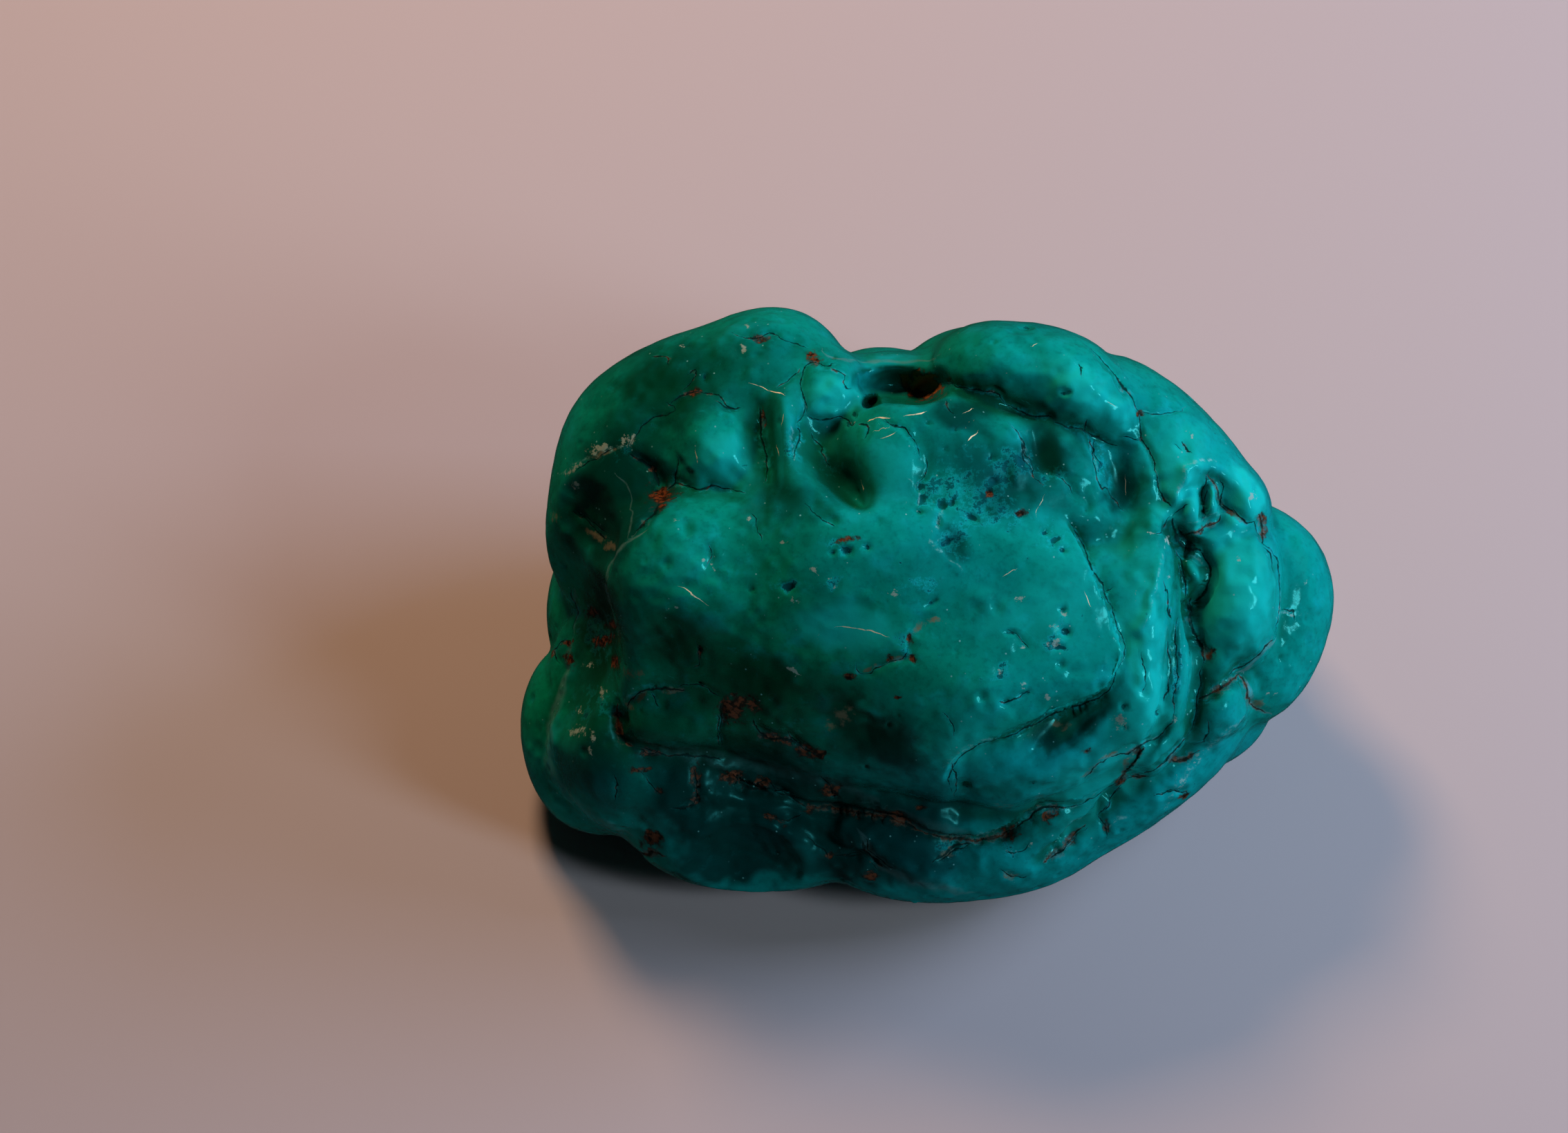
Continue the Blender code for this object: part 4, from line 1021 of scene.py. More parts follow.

# Frosted edges: the depth is how strong the mark is. Above 0 it is crumbly frost, and the lines on the
# curled rim and along the tip are painted highlights; below 0 it is smooth, a painted sheen that
# stands for reflection.
FROST_AND_PAINTED_SHEEN = drawn(
    Seam,
    (0.16, -0.6, -30.6, 0, -30.9, 2.2, -30.2, 4.2, -28.6, 5.8, -26.8, 7),
    (0.1, -0.4, -28.7, 6, -28.4, 8.5, -28.9, 11, -30.2, 12.6),
    (0.45, -0.4, -34.6, -3.5, -35.4, -7.5, -36.6, -11.5, -37, -15, -35.2, -18.3, -32, -20.8, -28.5, -22.6),
    (0.8, -0.16, -28, -12.8, -25, -14, -20, -15, -15, -15.8, -10, -16.8, -5, -18.8),
    (0.8, -0.2, -6, -19.6, 0, -21.4, 4, -22.1),
    (0.45, -0.4, -7, -21.4, -5.8, -23.6, -3.6, -25.8, 0.5, -27.4, 4.4, -27.9),
    (0.14, -0.5, -34.3, 1.5, -34.2, -0.8, -34.4, -3), (0.16, -0.5, -29.6, -3, -30.2, -1.2, -30.6, 0),
    (0.13, -0.5, -10.6, 24.4, -9.4, 23.4, -6, 23.2, -3, 23.2, -0.6, 23.1, 0.9, 23.8),
    (0.2, -0.8, 33, -3.2, 31.8, -4.4, 30.6, -5.8, 29.2, -6.6), (0.22, -0.8, 29.8, -7, 30.6, -8.4, 31, -9.6, 33, -10.6),
    (0.35, 0.9, 30, -10.8, 28, -12.6, 26, -14.4, 24.2, -16.6, 23, -18.6, 22.5, -20),
    (0.18, 0.7, 16.6, -14.6, 18.5, -13.9, 20.2, -13.1, 21.8, -12.2),
    (0.14, 0.8, 9, -20.3, 11, -19.5, 13.6, -19.4, 15.8, -18), (0.16, 0.7, 14.6, -16.3, 15.5, -15.2, 16.4, -14.2),
    (0.28, 0.8, 0.6, -15.6, 2.6, -13.8, 4, -13, 5.8, -12.5), (0.15, 0.6, -13.3, 17, -13.2, 15.2, -12.9, 13.6),
    (0.3, 0.9, 0.6, 8.8, 0.2, 7.6, 0.4, 6.8), (0.26, 0.8, -0.5, 6, -0.1, 5.2, 0.8, 4.8),
    (0.08, 0.5, 1.2, 4.4, 2.6, 3.4), (0.14, 0.7, 7.4, 16.8, 8.3, 15.3, 8.5, 13.9, 9.3, 12.6),
    (0.24, 1, 22.9, 9.8, 23.4, 11.8, 24.3, 13.2, 25.6, 13.7, 27, 13.4),
    (0.12, 0.7, 21.7, 5.6, 21.2, 3, 20.6, 0.5, 19.6, -2), (0.24, 0.7, -35.8, 12.3, -34, 13.2, -31.5, 14.4, -28.8, 15),
    (0.14, 0.9, 33.4, -1, 34.6, -0.8, 36.3, -0.9), (0.12, 0.6, 33.2, 3, 33.3, 1, 33.2, -2),
    (0.14, 0.9, 24, 4.9, 25.4, 4.3, 26, 3.2), (0.1, 0.6, 23.6, 7.4, 25, 7.9, 27.2, 8.6, 28.6, 8.4),
    (0.3, 0.7, 2.4, -22.3, 4.5, -22.1, 6.6, -21.5, 8.2, -20.9), (0.14, 0.8, 15.3, 15.2, 15.2, 14, 15.6, 12.6),
    (0.07, 0.6, 20.4, 15, 20.9, 13.2, 21.4, 11.2), (0.2, 0.5, -29.4, -9.6, -28.2, -8.3, -26.6, -8.6),
    (0.14, 0.8, -2.4, 11.8, -1.4, 10.6, -1.6, 9.2), (0.12, 0.6, 12.9, -21.4, 13.9, -20.8, 15.2, -20.2),
    (0.22, 0.8, 16.7, -22.2, 17.8, -20.9, 19.2, -20.6),
)

PAINTED_SHADE_LIGHT_AND_TONE_SPOTS = spots(
    # Deeper green, above 0, and paler stone, below 0: partly the stone's own tone, partly painted
    # shade on faces turned from the light, in clefts and hollows, and painted light on faces turned to it.
    (-32.4, 8.6, 5.4, 6.4, 1.1), (-31.5, -2, 4, 8, 0.9), (-16, -8.5, 15, 6.5, 0.8, -12), (-6, -7, 7, 6, 0.5),
    (-4, -12.8, 9, 5, 0.9, -30), (-25, -10.5, 6, 4, 0.5), (-33, -9, 5.5, 10, 0.7), (-15, -21, 19, 6.5),
    (-17.5, -24.5, 7, 4, 0.9), (-1, -25, 10, 4.5, 0.9), (9, -24.5, 6, 3, 0.3, 20), (-9, 12.5, 2.4, 5, 0.4, 38),
    (17.6, 12, 2.5, 5, 0.4, 10), (-34, -18, 7, 7, 0.6), (-31, 14.5, 6, 5, 0.7), (-4, 21.6, 6, 1.6, 0.6),
    (-17, 23, 15, 7, 0.5, 10), (9, 12, 12, 7, 0.6, -10), (-2, 3, 9, 7, 0.35), (-28, 22, 8, 6, 0.35, 30),
    (19.6, -2.5, 3.8, 12, -1, -5), (29.5, 0.5, 6, 10, -1), (14, 20, 7, 4, -0.9, -36), (13, 0, 6, 10, -0.5),
    (5, -10, 7, 4, -0.3), (24, 14, 7, 7, -0.4), (36, 0, 5, 9, 0.15), (15, -17, 9, 5, -0.6, 30),
    (-20.4, 15, 5, 5, -0.2), (-3.6, 13.4, 4, 4.4, -0.7), (24.6, -6, 1.6, 8, -0.4), (27, -11, 4, 2.4, 0.3, 38),
    (6, 24, 6, 2.6, -0.15, -8), (-23, 4, 4, 4, -0.35), (-26, 19, 9, 8, 0.5, 20), (-28.5, 8.5, 3.4, 5, 0.8),
    (-24, -3, 8, 6, 0.5), (-20, -14.5, 17, 4.5, 0.7, -6), (-27, -18, 9, 6, 0.45), (-13, -18, 14, 4, 0.4, -8),
    (-7, -21, 9, 5, 0.5), (-9, -26, 9, 3, 0.6), (-23, -26, 6, 3, 0.5), (2, -19.5, 6, 4, 0.4),
    (11.5, -12, 4.6, 2, 0.5, -43), (6, 10, 5, 4, 0.3), (12, 15, 5, 3, 0.4, -20), (4, 17.5, 5, 2.6, 0.4, -15),
    (2, 6, 2.4, 3, 0.45), (30, -6.4, 4, 2.4, 0.5, 20), (24.2, 6.1, 1.5, 0.9, 2.4, -40), (24.7, 0, 0.7, 1.5, 2.2),
    (25.3, -3.6, 0.6, 1.6, 1.6, -15), (26.4, 2.2, 0.5, 2.2, 1.3), (-26, 14, 10, 8, 0.3), (-14, 12, 8, 6, 0.22),
    (-30, 4, 5, 6, 0.3), (-22, -22, 10, 6, 0.35), (-2, -22, 9, 4, 0.3), (0, 15, 10, 6, 0.2), (6, 10, 6, 4, 0.2),
    (29.5, 10.5, 4, 3.4, -0.6, -20), (10, -21, 5, 3, 0.2), (-6, -18, 6, 3, 0.3), (-28.5, 11, 5, 5, 0.5),
    (-25, 10, 5, 3, 0.4), (-30, 6, 3, 4, 0.5), (-16, 18.5, 11, 3, 0.25), (-12, 10, 9, 3.4, 0.35), (2, 18, 4, 2.6, 0.4),
    (10, 14, 3.4, 2.6, 0.3), (2, 6, 3, 3, 0.25), (18, 10, 3, 3, 0.3), (-8, -2, 7, 5, -0.45), (-6, -8, 4, 4, -0.55),
    (2, -13, 5, 4, -0.45), (8, 0, 7, 5, -0.3), (19, -10, 5, 9, -0.45), (26, 8, 6, 5, -0.6), (22, 14, 6, 5, -0.4),
    (12, 21, 6, 3, -0.3, -30), (8, -24, 9, 3, -0.3, 20), (-36, -20, 5, 4, -0.8), (-12, -2, 6, 4, -0.25),
    (-9, 19, 5, 4, -0.3), (-21, 14, 5, 4, -0.15), (10, -12.5, 4, 3, 0.45, -45), (-14, -14, 9, 3, 0.3, -6),
    (-20, -25, 6, 5, 0.35), (-22, -18.5, 5, 4, 0.4), (-20, 22, 12, 7, 0.25, 10), (-14, 8.5, 9, 4, 0.4, -5),
    (2, 19, 5, 3, 0.4, -10), (3, 14, 7, 4, 0.25), (-2, 17, 4, 3, 0.25), (-27, 12, 4, 4, 0.5),
    (10, -13, 4.4, 2.6, 0.3, -45), (-20, -24, 7, 5, 0.5), (-6, -14, 7, 3, 0.4, -10), (-18, -10, 6, 3, 0.1),
    (-22, -18, 6, 5, 0.5), (-10, -25, 7, 3.4, 0.35), (18, 10.5, 2.4, 4, 0.3), (10, 14, 3, 3.4, 0.35),
    (-23, -2.5, 7, 4, 0.35), (-30, -14, 5, 5, 0.4), (0, -19, 7, 4, 0.3), (6, -2, 4, 3, -0.3), (38, 0, 3, 5, -0.4),
    (18, 18, 4, 3, -0.4, -40), (-21, 14.6, 5.6, 5.8, -0.4), (-10.2, 19.6, 4.6, 4.4, -0.9), (-6.5, 15.5, 3, 4, -0.3),
    (-8, -2, 7, 3.6, -0.6, -10), (-5, -9.4, 3, 3, -0.7), (2, -14, 4.4, 3, -0.7), (23.5, 10.5, 4, 4.6, -1),
    (29.5, 10.6, 3, 4, -1), (27, 2.5, 3, 5, -0.5), (25.4, 4.2, 1.2, 0.8, -0.5), (14, -22, 4, 2.4, -0.5, 30),
    (20, -16, 5, 3, -0.4, 30), (26, -3, 3, 6, -0.4), (22, -10, 2.4, 5, -0.6, 10), (18, 6, 3, 3, -0.5),
    (-5.5, -5, 6, 4, -0.35), (-20, 12.5, 7, 5.5, -0.45), (-14, -24.5, 7, 4, -0.35), (-26, -22.5, 5.5, 4, -0.35),
    (-6, -26, 5, 3, -0.2), (36, 0, 3.4, 6, 0.2), (-17, 22, 6, 4, -0.2),
)

OLIVE_AND_PAINTED_SHADE_SPOTS = spots(
    # Where the stone is olive green: partly its own tint, partly painted shade on shaded faces and in hollows.
    (-15.9, 15, 0.9, 4.2, 1, 5), (-8.7, 11.8, 1.2, 3.6, 1, 40), (-11.6, 14.8, 1, 2, 0.4, 30),
    (10, 14, 1, 2.4, 0.9, 12), (17.3, 11.3, 1.6, 4.4, 0.9, -8), (12.2, -12.2, 1.4, 4.9, 1.1, -47),
    (-31.6, 1.8, 2.6, 6, 0.8, 12), (-16, -6.5, 9, 4.6, 0.9, -14), (24.3, 5.6, 0.7, 1.2, 0.8, 45),
    (3, -17.6, 1.2, 0.8, 0.6, 20), (-24, -4, 6, 4, 0.7), (-25.4, 15, 3, 3, 0.5), (-8, -9.5, 4, 3, 0.6),
    (-24, -10.4, 3.2, 2, 0.6), (-34, -9, 3, 8, 0.4), (3.4, 20.9, 2.4, 0.6, 0.6, -12), (-3.8, 21.4, 3.4, 1, 0.5),
    (-6.5, -21.5, 3, 1.2, 0.5, -20),
)

# Hairline cracks, by the points they run through.
HAIRLINES = (
    (-25.3, 19.3, -24.7, 18.4, -26.2, 17.9, -27.6, 16.8, -28.5, 14.8),
    (-23.6, 20.3, -22.9, 21.2, -22.4, 22, -23.5, 21.9),
    (-22.6, 20.1, -20.9, 19.9, -19.9, 19.5, -19.3, 18.7, -18, 18.4), (-26.7, 23.7, -25.3, 23.8, -24.8, 22.8),
    (-19.2, 26, -17.6, 25.2, -16.2, 25.3, -15, 25.6, -13.8, 25.1, -11.6, 24),
    (-12.1, 17.7, -12, 18.6, -12.4, 20.2, -12.3, 21.8, -11.5, 23, -10.2, 22.6, -9, 22.9),
    (-12.2, 17.7, -10.5, 17.4, -8.8, 17.6, -7.6, 17.1, -6.9, 17.3), (-14.7, 20.6, -13.4, 21.4, -12.5, 22.1),
    (-11.4, 16.4, -10.6, 14.6, -9.6, 12.7), (-11.9, 9.4, -10.6, 8.2, -9.6, 7.2), (-17.2, 8.7, -16.6, 7.6, -16.2, 6.1),
    (-21, 5.7, -20.7, 4.4, -21.3, 3.5), (-25.3, 10.9, -24.3, 12.2, -24.2, 14.1),
    (-9.8, 22.6, -8.4, 21.8, -8.5, 20.8, -7.6, 20.4), (-4.6, 17.6, -3.4, 16.6, -2.2, 15.8, -1.6, 14.8),
    (-0.9, 13.9, -0.8, 12.4, -1.7, 11.5), (1.2, 19.2, 1.6, 18.4, 2.1, 18), (-7, 16.8, -6, 16.6, -6.4, 15.6),
    (7.2, 16.9, 7.9, 16.2, 8.3, 15, 9.1, 13.4, 9.3, 12.2, 10.3, 11.4), (11.4, 12.3, 12.6, 11.4, 13.2, 10.4),
    (14.6, 16.2, 15.2, 14.6, 15.1, 13.3, 15.8, 11.6, 16.9, 10.3, 18.2, 8.6), (17.8, 15.7, 18.6, 15.6, 19.5, 15.4),
    (23.5, 15.3, 24.1, 14.7, 24.6, 14.5), (26.9, 12.2, 27.6, 11.2, 27.4, 9.6, 28.6, 8.7),
    (26.3, 12.4, 25.6, 10.6, 25.6, 8.9, 25.9, 8), (28.6, 9.4, 29.6, 8.2, 30.7, 7.8, 31.3, 6.6),
    (21.6, 2, 22, 0.6, 22.4, -1.6), (22.2, -3.4, 22.4, -6.4, 22.1, -9.4), (23.3, 3.9, 23.9, 2.2, 23.7, 0.4),
    (31.6, 5.6, 32.3, 4.4, 32.7, 2.6), (33.6, -0.7, 34.6, -0.6, 35.1, -1.4), (19.6, -4.6, 19.9, -6.6, 19.6, -8.4),
    (14.4, -16.7, 15.3, -15.3, 16.6, -14.6), (5.9, -9.2, 7.6, -8.7, 8.8, -8.1), (6.6, -2.4, 8, -3.2, 9, -4.2),
    (-7.4, -5.2, -6.6, -6.6, -4.6, -5.4, -2.8, -5, -2.2, -3.4), (0.6, -9.9, 1.5, -10.8, 1.9, -12.2),
    (1.6, -15, 2.1, -16.6, 1.9, -18.2), (-22.3, -3.6, -21.8, -5, -22.6, -5.8), (-24, -7.7, -22, -7.6, -20.3, -8.7),
    (-20.3, -10.6, -20.1, -12.2, -20.3, -13.6), (-13.9, -11.6, -13, -12.9, -11.4, -13.9),
    (-28.4, -14.1, -26.6, -14.3, -26.2, -13.7), (-22.9, -16, -22.3, -17.6, -22.7, -19.2, -25, -19.5),
    (-30.6, -16.3, -29.8, -17.7, -30.4, -18.8), (-27.8, -16, -26.6, -17.6, -25.6, -18.3),
    (-18.6, -16.4, -17.2, -17.4, -15.6, -17.1, -14.6, -18.4, -13, -18.9), (-10.8, -16.4, -9.9, -17.3, -9.2, -18.8),
    (-12, -20, -13.6, -20.7, -15.6, -20.4), (-8.8, -24.4, -7, -23.7, -6, -24.6, -5, -25.6),
    (-6.6, -22.4, -5.2, -24.1, -3.4, -25.6), (-11.8, -22.4, -10.2, -23.4, -9.6, -24.8),
    (0.6, -24.9, 1.8, -24, 3.6, -23.2), (6.6, -25.4, 8.4, -26.4, 9.4, -26.3), (9.6, -22.9, 8.6, -23.6, 7.4, -23.8),
    (11.4, -24.6, 12.6, -23.6, 14.4, -22.3, 15.1, -21.5), (16.2, -20.6, 16.9, -21.4, 16.9, -22.7),
    (16.7, -19.6, 18, -17.9, 18.6, -16.9), (21.4, -18.6, 23, -17.7, 24.6, -18.2), (25, -13.9, 26.4, -12.6, 26.2, -11),
    (-35.3, -3.2, -36.2, -4.6, -36, -6.2), (-34.8, 1.6, -34.2, -0.6, -34.6, -3), (-34.3, 8.7, -32.4, 7.3, -30.3, 6.2),
    (13.5, 22.6, 13.9, 21.4), (20.8, 6.9, 21.8, 7.2, 22.4, 8.6),
)

# Fine scratches, coloured with the painted glint of a warm lamp.
SCRATCHES = drawn(
    Seam,
    (0.1, 0.05, -17.4, 20.9, -15.6, 20.4, -14.1, 19.8), (0.13, 0.06, -9.1, -2, -7, -2.3, -4.5, -3),
    (0.12, 0.05, -23.9, 1.7, -22.4, 0.9, -21.1, -0.1), (0.16, 0.06, -6.1, 17.1, -5.2, 17.5, -4.2, 17.7),
    (0.14, 0.05, -2.6, 17.7, -1.6, 17.9, -0.8, 18.15), (0.13, 0.05, 3.3, 15.2, 3.6, 15.5, 4.1, 16.1),
    (0.08, 0.04, 16.3, 19.1, 16.7, 18.8, 17.1, 18.5), (0.06, 0.04, 9.5, 8.3, 9.9, 9.2, 10.4, 10.2),
    (0.08, 0.04, 6.3, 2.6, 6.8, 3, 7.4, 3.4), (0.1, 0.04, 2.9, 18, 3.3, 18.15, 3.7, 18.3),
    (0.07, 0.04, 14, 0.9, 14.3, 0.4, 14.6, -0.1), (0.12, 0.05, -4.8, 15.6, -4.2, 15.7, -3.7, 16.1),
    (0.09, 0.04, -22.5, 14.5, -22.4, 13.9, -22.3, 13.3), (0.09, 0.04, -6.9, 11.6, -6.7, 11.2, -6.6, 10.8),
    (0.08, 0.04, -14.8, 14.9, -14.7, 14.4, -14.5, 13.9), (0.08, 0.04, -14.1, 17.9, -14.2, 17.5, -14.3, 17.1),
    (0.05, 0.03, 18.1, 12.2, 18.2, 11.2, 18.3, 10.4), (0.08, 0.03, 9.3, 24.4, 9.5, 24.5, 9.8, 24.6),
)


# The stone's skin: what is pressed into the net, and the marks left at its points


@dataclass(frozen=True)
class Ripple:
    """Random swellings of the surface, of one size."""

    size: float
    height: float
    on_grit: bool = False


@dataclass(frozen=True)
class HiddenStain:
    """Patches of one colour scattered where nothing is drawn; the rarer, the fewer and smaller."""

    size: float
    seed: int
    rarity: float
    fine_share: float = 0.37
    fine_step: int = 10

    def cover(self, points: Array) -> Array:
        """How much the patches cover points, above 0 inside them."""
        broad = 2.2 * value_noise(points, self.size, self.seed)
        return broad + 0.8 * value_noise(points, self.fine_share * self.size, self.seed + self.fine_step) - self.rarity


@dataclass(frozen=True)
class StoneSkin:
    """The stone's fine relief and marks, over its form."""

    form: StoneForm = StoneForm()
    ripples: tuple[Ripple, ...] = (
        Ripple(7.5, 0.33),
        Ripple(3.4, 0.10),
        Ripple(1.4, 0.03),
        Ripple(1.0, 0.16, on_grit=True),
    )
    seams: tuple[Seam, ...] = SEAMS + tuple(Seam(path, 0.13, 0.13, SOILED, wander=0.32) for path in HAIRLINES)
    scratches: tuple[Seam, ...] = SCRATCHES
    hidden_stains: tuple[HiddenStain, ...] = (
        HiddenStain(3.6, 81, 1.45), HiddenStain(4.4, 82, 1.35), HiddenStain(3.0, 83, 1.30),
    )
    groove_spread: float = 2.2
    groove_least: float = 0.15
    pit_depth: float = 0.30
    pit_steepness: float = 1.6
    random_pits: int = 260
    random_pit_radii: Pair = (0.28, 0.55)
    random_pit_depths: Pair = (0.05, 0.16)
    random_pit_steepness: float = 1.4
    pit_seed: int = 11
    face_least: float = -0.10
    face_span: float = 0.25
    path_reach: float = 2.2
    spot_reach: float = 2.2
    wander_sizes: Pair = (1.4, 0.6)
    stain_wander: float = 0.3
    pit_wander: float = 0.15
    grit_wander: float = 0.8
    olive_and_shade_wander: float = 0.6
    painted_shade_wander: float = 0.8
    mark_reach: float = 0.9
    crowding: float = 1.9
    line_share: float = 0.75
    valley_width: float = 1.25
    vein_size: float = 9.0
    fine_vein_size: float = 2.2
    vein_width: float = 0.30
    vein_reach: float = 0.9
    vein_valley: float = 1.6
    probe_near: float = 1.2
    probe_far: float = 3.2

    def _warped(self, points: Array, wander: float) -> Array:
        """Moves points a little at random, so that what is drawn wanders.

        Args:
            points: Points on the stone.
            wander: How far they move.

        Returns:
            The moved u and v of each point.
        """
        broad, fine = self.wander_sizes
        aside = [
            value_noise(points, broad, Pattern.WANDER + axis)
            + 0.5 * value_noise(points, fine, Pattern.FINE_WANDER + axis)
            for axis in range(2)
        ]
        return points[:, :2] + wander * np.stack(aside, axis=1)

    def _facing(self, outward: Array) -> Array:
        """How much each point faces the front, where the drawn marks are: from 0 to 1."""
        return ease((outward[:, 2] - self.face_least) / self.face_span)

    def relief(self, points: Array, outward: Array) -> Array:
        """How far the skin stands off the form at each point.

        Args:
            points: Points on the form.
            outward: The way out of the form at each point.

        Returns:
            The height above the form, below 0 in seams and pits.
        """
        facing = self._facing(outward)
        grit = self._cover(points, GRIT_SPOTS, self.grit_wander) * facing
        height = np.zeros(len(points))
        calm = 0.25 + 0.75 * ease((np.abs(outward[:, 2]) - 0.15) / 0.5)
        for seed, ripple in enumerate(self.ripples):
            swelling = calm * ripple.height * value_noise(points, ripple.size, seed + 1)
            height += swelling * grit if ripple.on_grit else swelling
        for seam in self.seams:
            near = self._near(points, seam)
            aside, width = seam.across(self._warped(points[near], seam.wander))
            reach = np.clip(np.abs(aside) / (self.groove_spread * seam.half_width + self.groove_least), 0, 1)
            depth = seam.depth * (1 - reach**2) ** 2 + seam.valley * np.exp(-((aside / self.valley_width) ** 2))
            height[near] -= depth * width / seam.half_width * facing[near]
        for fold in FOLDS:
            near = self._near(points, fold)
            height[near] += fold.rise(self._warped(points[near], fold.wander)) * facing[near]
        pits = np.clip(self._cover(points, PIT_SPOTS, self.pit_wander), 0, 1)
        height -= self.pit_depth * ease(pits * self.pit_steepness) * facing
        aside, width = self._veins(points, facing)
        groove = np.clip(1 - (aside / self.vein_reach) ** 2, 0, 1) ** 2
        height -= width * (groove + 0.8 * np.exp(-((aside / self.vein_valley) ** 2)))
        return height - self._scattered_pits(points)

    def _scattered_pits(self, points: Array) -> Array:
        """Small pits scattered over the whole stone.

        Args:
            points: Points on the stone.

        Returns:
            The pits' depth at each point.
        """
        random = np.random.default_rng(self.pit_seed)
        centres = points[random.integers(0, len(points), self.random_pits)]
        (least_radius, more_radius), (least_depth, more_depth) = self.random_pit_radii, self.random_pit_depths
        radii = least_radius + more_radius * random.random(self.random_pits) ** 2
        depths = least_depth + more_depth * random.random(self.random_pits)
        depth = np.zeros(len(points))
        for centre, radius, deep in zip(centres, radii, depths):
            near = np.nonzero((np.abs(points - centre) < radius).all(axis=1))[0]
            reach = np.linalg.norm(points[near] - centre, axis=1) / radius
            depth[near] = np.maximum(depth[near], deep * ease(self.random_pit_steepness * (1 - reach)))
        return depth

    def _veins(self, points: Array, facing: Array) -> tuple[Array, Array]:
        """The cracks that wander over the sides and the back, where no seam is drawn.

        Args:
            points: Points on the stone.
            facing: How much each point faces the front.

        Returns:
            How far each point lies aside of the nearest vein, and the vein's half width there.
        """
        wander = value_noise(points, self.vein_size, Pattern.VEIN)
        wander += 0.22 * value_noise(points, self.fine_vein_size, Pattern.FINE_VEIN)
        opened = ease((value_noise(points, 7.0, Pattern.VEIN_OPENING) + 0.15) / 0.6)
        return 0.5 * self.vein_size * wander, self.vein_width * opened * (1 - facing)

    def _near(self, points: Array, seam: Seam | Fold) -> Array:
        """The points close enough to a path to matter.

        Args:
            points: Points on the stone.
            seam: What has the path.

        Returns:
            The indices of those points.
        """
        path = np.array(seam.path).reshape(-1, 2)
        low, high = path.min(axis=0) - self.path_reach, path.max(axis=0) + self.path_reach
        return np.nonzero(((points[:, :2] > low) & (points[:, :2] < high)).all(axis=1))[0]

    def _cover(self, points: Array, patches: Sequence[Spot], wander: float) -> Array:
        """The strongest cover of several spots at each point.

        Args:
            points: Points on the stone.
            patches: The spots.
            wander: How far their outlines wander.

        Returns:
            The cover at each point, -1 where no spot is near.
        """
        places = self._warped(points, wander)
        cover = np.full(len(points), -1.0)
        for spot in patches:
            reach = self.spot_reach * max(spot.radii)
            near = np.nonzero((np.abs(places - np.array(spot.place)) < reach).all(axis=1))[0]
            cover[near] = np.maximum(cover[near], spot.cover(places[near]))
        return cover

    def _groups(self, seams: Sequence[Seam]) -> list[list[Seam]]:
        """Parts seams into groups whose members never run close together.

        Args:
            seams: The seams.

        Returns:
            The groups, as few as a first-fit search finds.
        """
        groups: list[list[Seam]] = []
        for seam in seams:
            path = rounded_path(seam.path, 6)
            for group in groups:
                gaps = [np.abs(beside_path(path, other.path)[0]).min() for other in group]
                if min(gaps) > self.crowding:
                    group.append(seam)
                    break
            else:
                groups.append([seam])
        return groups

    def _lines(self, points: Array, facing: Array, seams: Sequence[Seam]) -> Array:
        """Where each point lies across the nearest of some seams.

        Args:
            points: Points on the stone.
            facing: How much each point faces the front.
            seams: Seams that don't run close together.

        Returns:
            One row a point: the signed distance, the half width of the seam there, and its filling.
        """
        lines = np.zeros((len(points), 3))
        lines[:, 0] = self.crowding
        closest = np.full(len(points), self.crowding)
        for seam in seams:
            near = self._near(points, seam)
            places = self._warped(points[near], seam.wander)
            aside, width = seam.across(places)
            _, along = beside_path(places, seam.path)
            shown = (along > 0) & (along < 1) & (np.abs(aside) < self.mark_reach)
            width = np.where(shown, self.line_share * width, 0) * facing[near]
            width = width * (0.75 + 0.45 * value_noise(points[near], 1.1, Pattern.LINE_WIDTH))
            nearer = np.abs(aside) < closest[near]
            chosen = near[nearer]
            closest[chosen] = np.abs(aside[nearer])
            strength = np.full(nearer.sum(), seam.depth if seams is FROST_AND_PAINTED_SHEEN else seam.fill.value)
            lines[chosen] = np.stack([aside[nearer], width[nearer], strength], axis=1)
        return lines

    def marks(self, points: Array, outward: Array) -> dict[str, Array]:
        """The marks that the stone's material reads.

        Args:
            points: Points on the stone.
            outward: The way out of the form at each point.

        Returns:
            Three numbers a point under each name.
        """
        facing = self._facing(outward)
        marks = {}
        groups = self._groups(self.seams)
        LOG.info("%d seams in %d groups", len(self.seams), len(groups))
        for number, group in enumerate(groups):
            marks[f"seams_{number}"] = self._lines(points, facing, group)
        aside, width = self._veins(points, facing)
        rusty = SOILED.value + 0.5 * value_noise(points, 4.0, Pattern.VEIN_FILL)
        marks[f"seams_{len(groups)}"] = np.stack([aside, self.line_share * width, rusty], axis=1)
        marks["scratches"] = self._lines(points, facing, self.scratches)
        marks["frost_and_painted_light"] = self._lines(points, facing, FROST_AND_PAINTED_SHEEN)
        covers = [self._cover(points, kind, self.stain_wander) for kind in (MATRIX_SPOTS, TAN_SPOTS, CHALK_AND_PAINTED_HIGHLIGHT_SPOTS)]
        unseen = [stain.cover(points) for stain in self.hidden_stains]
        marks["stains"] = np.stack([np.where(facing > 0.5, *pair) for pair in zip(covers, unseen)], axis=1)
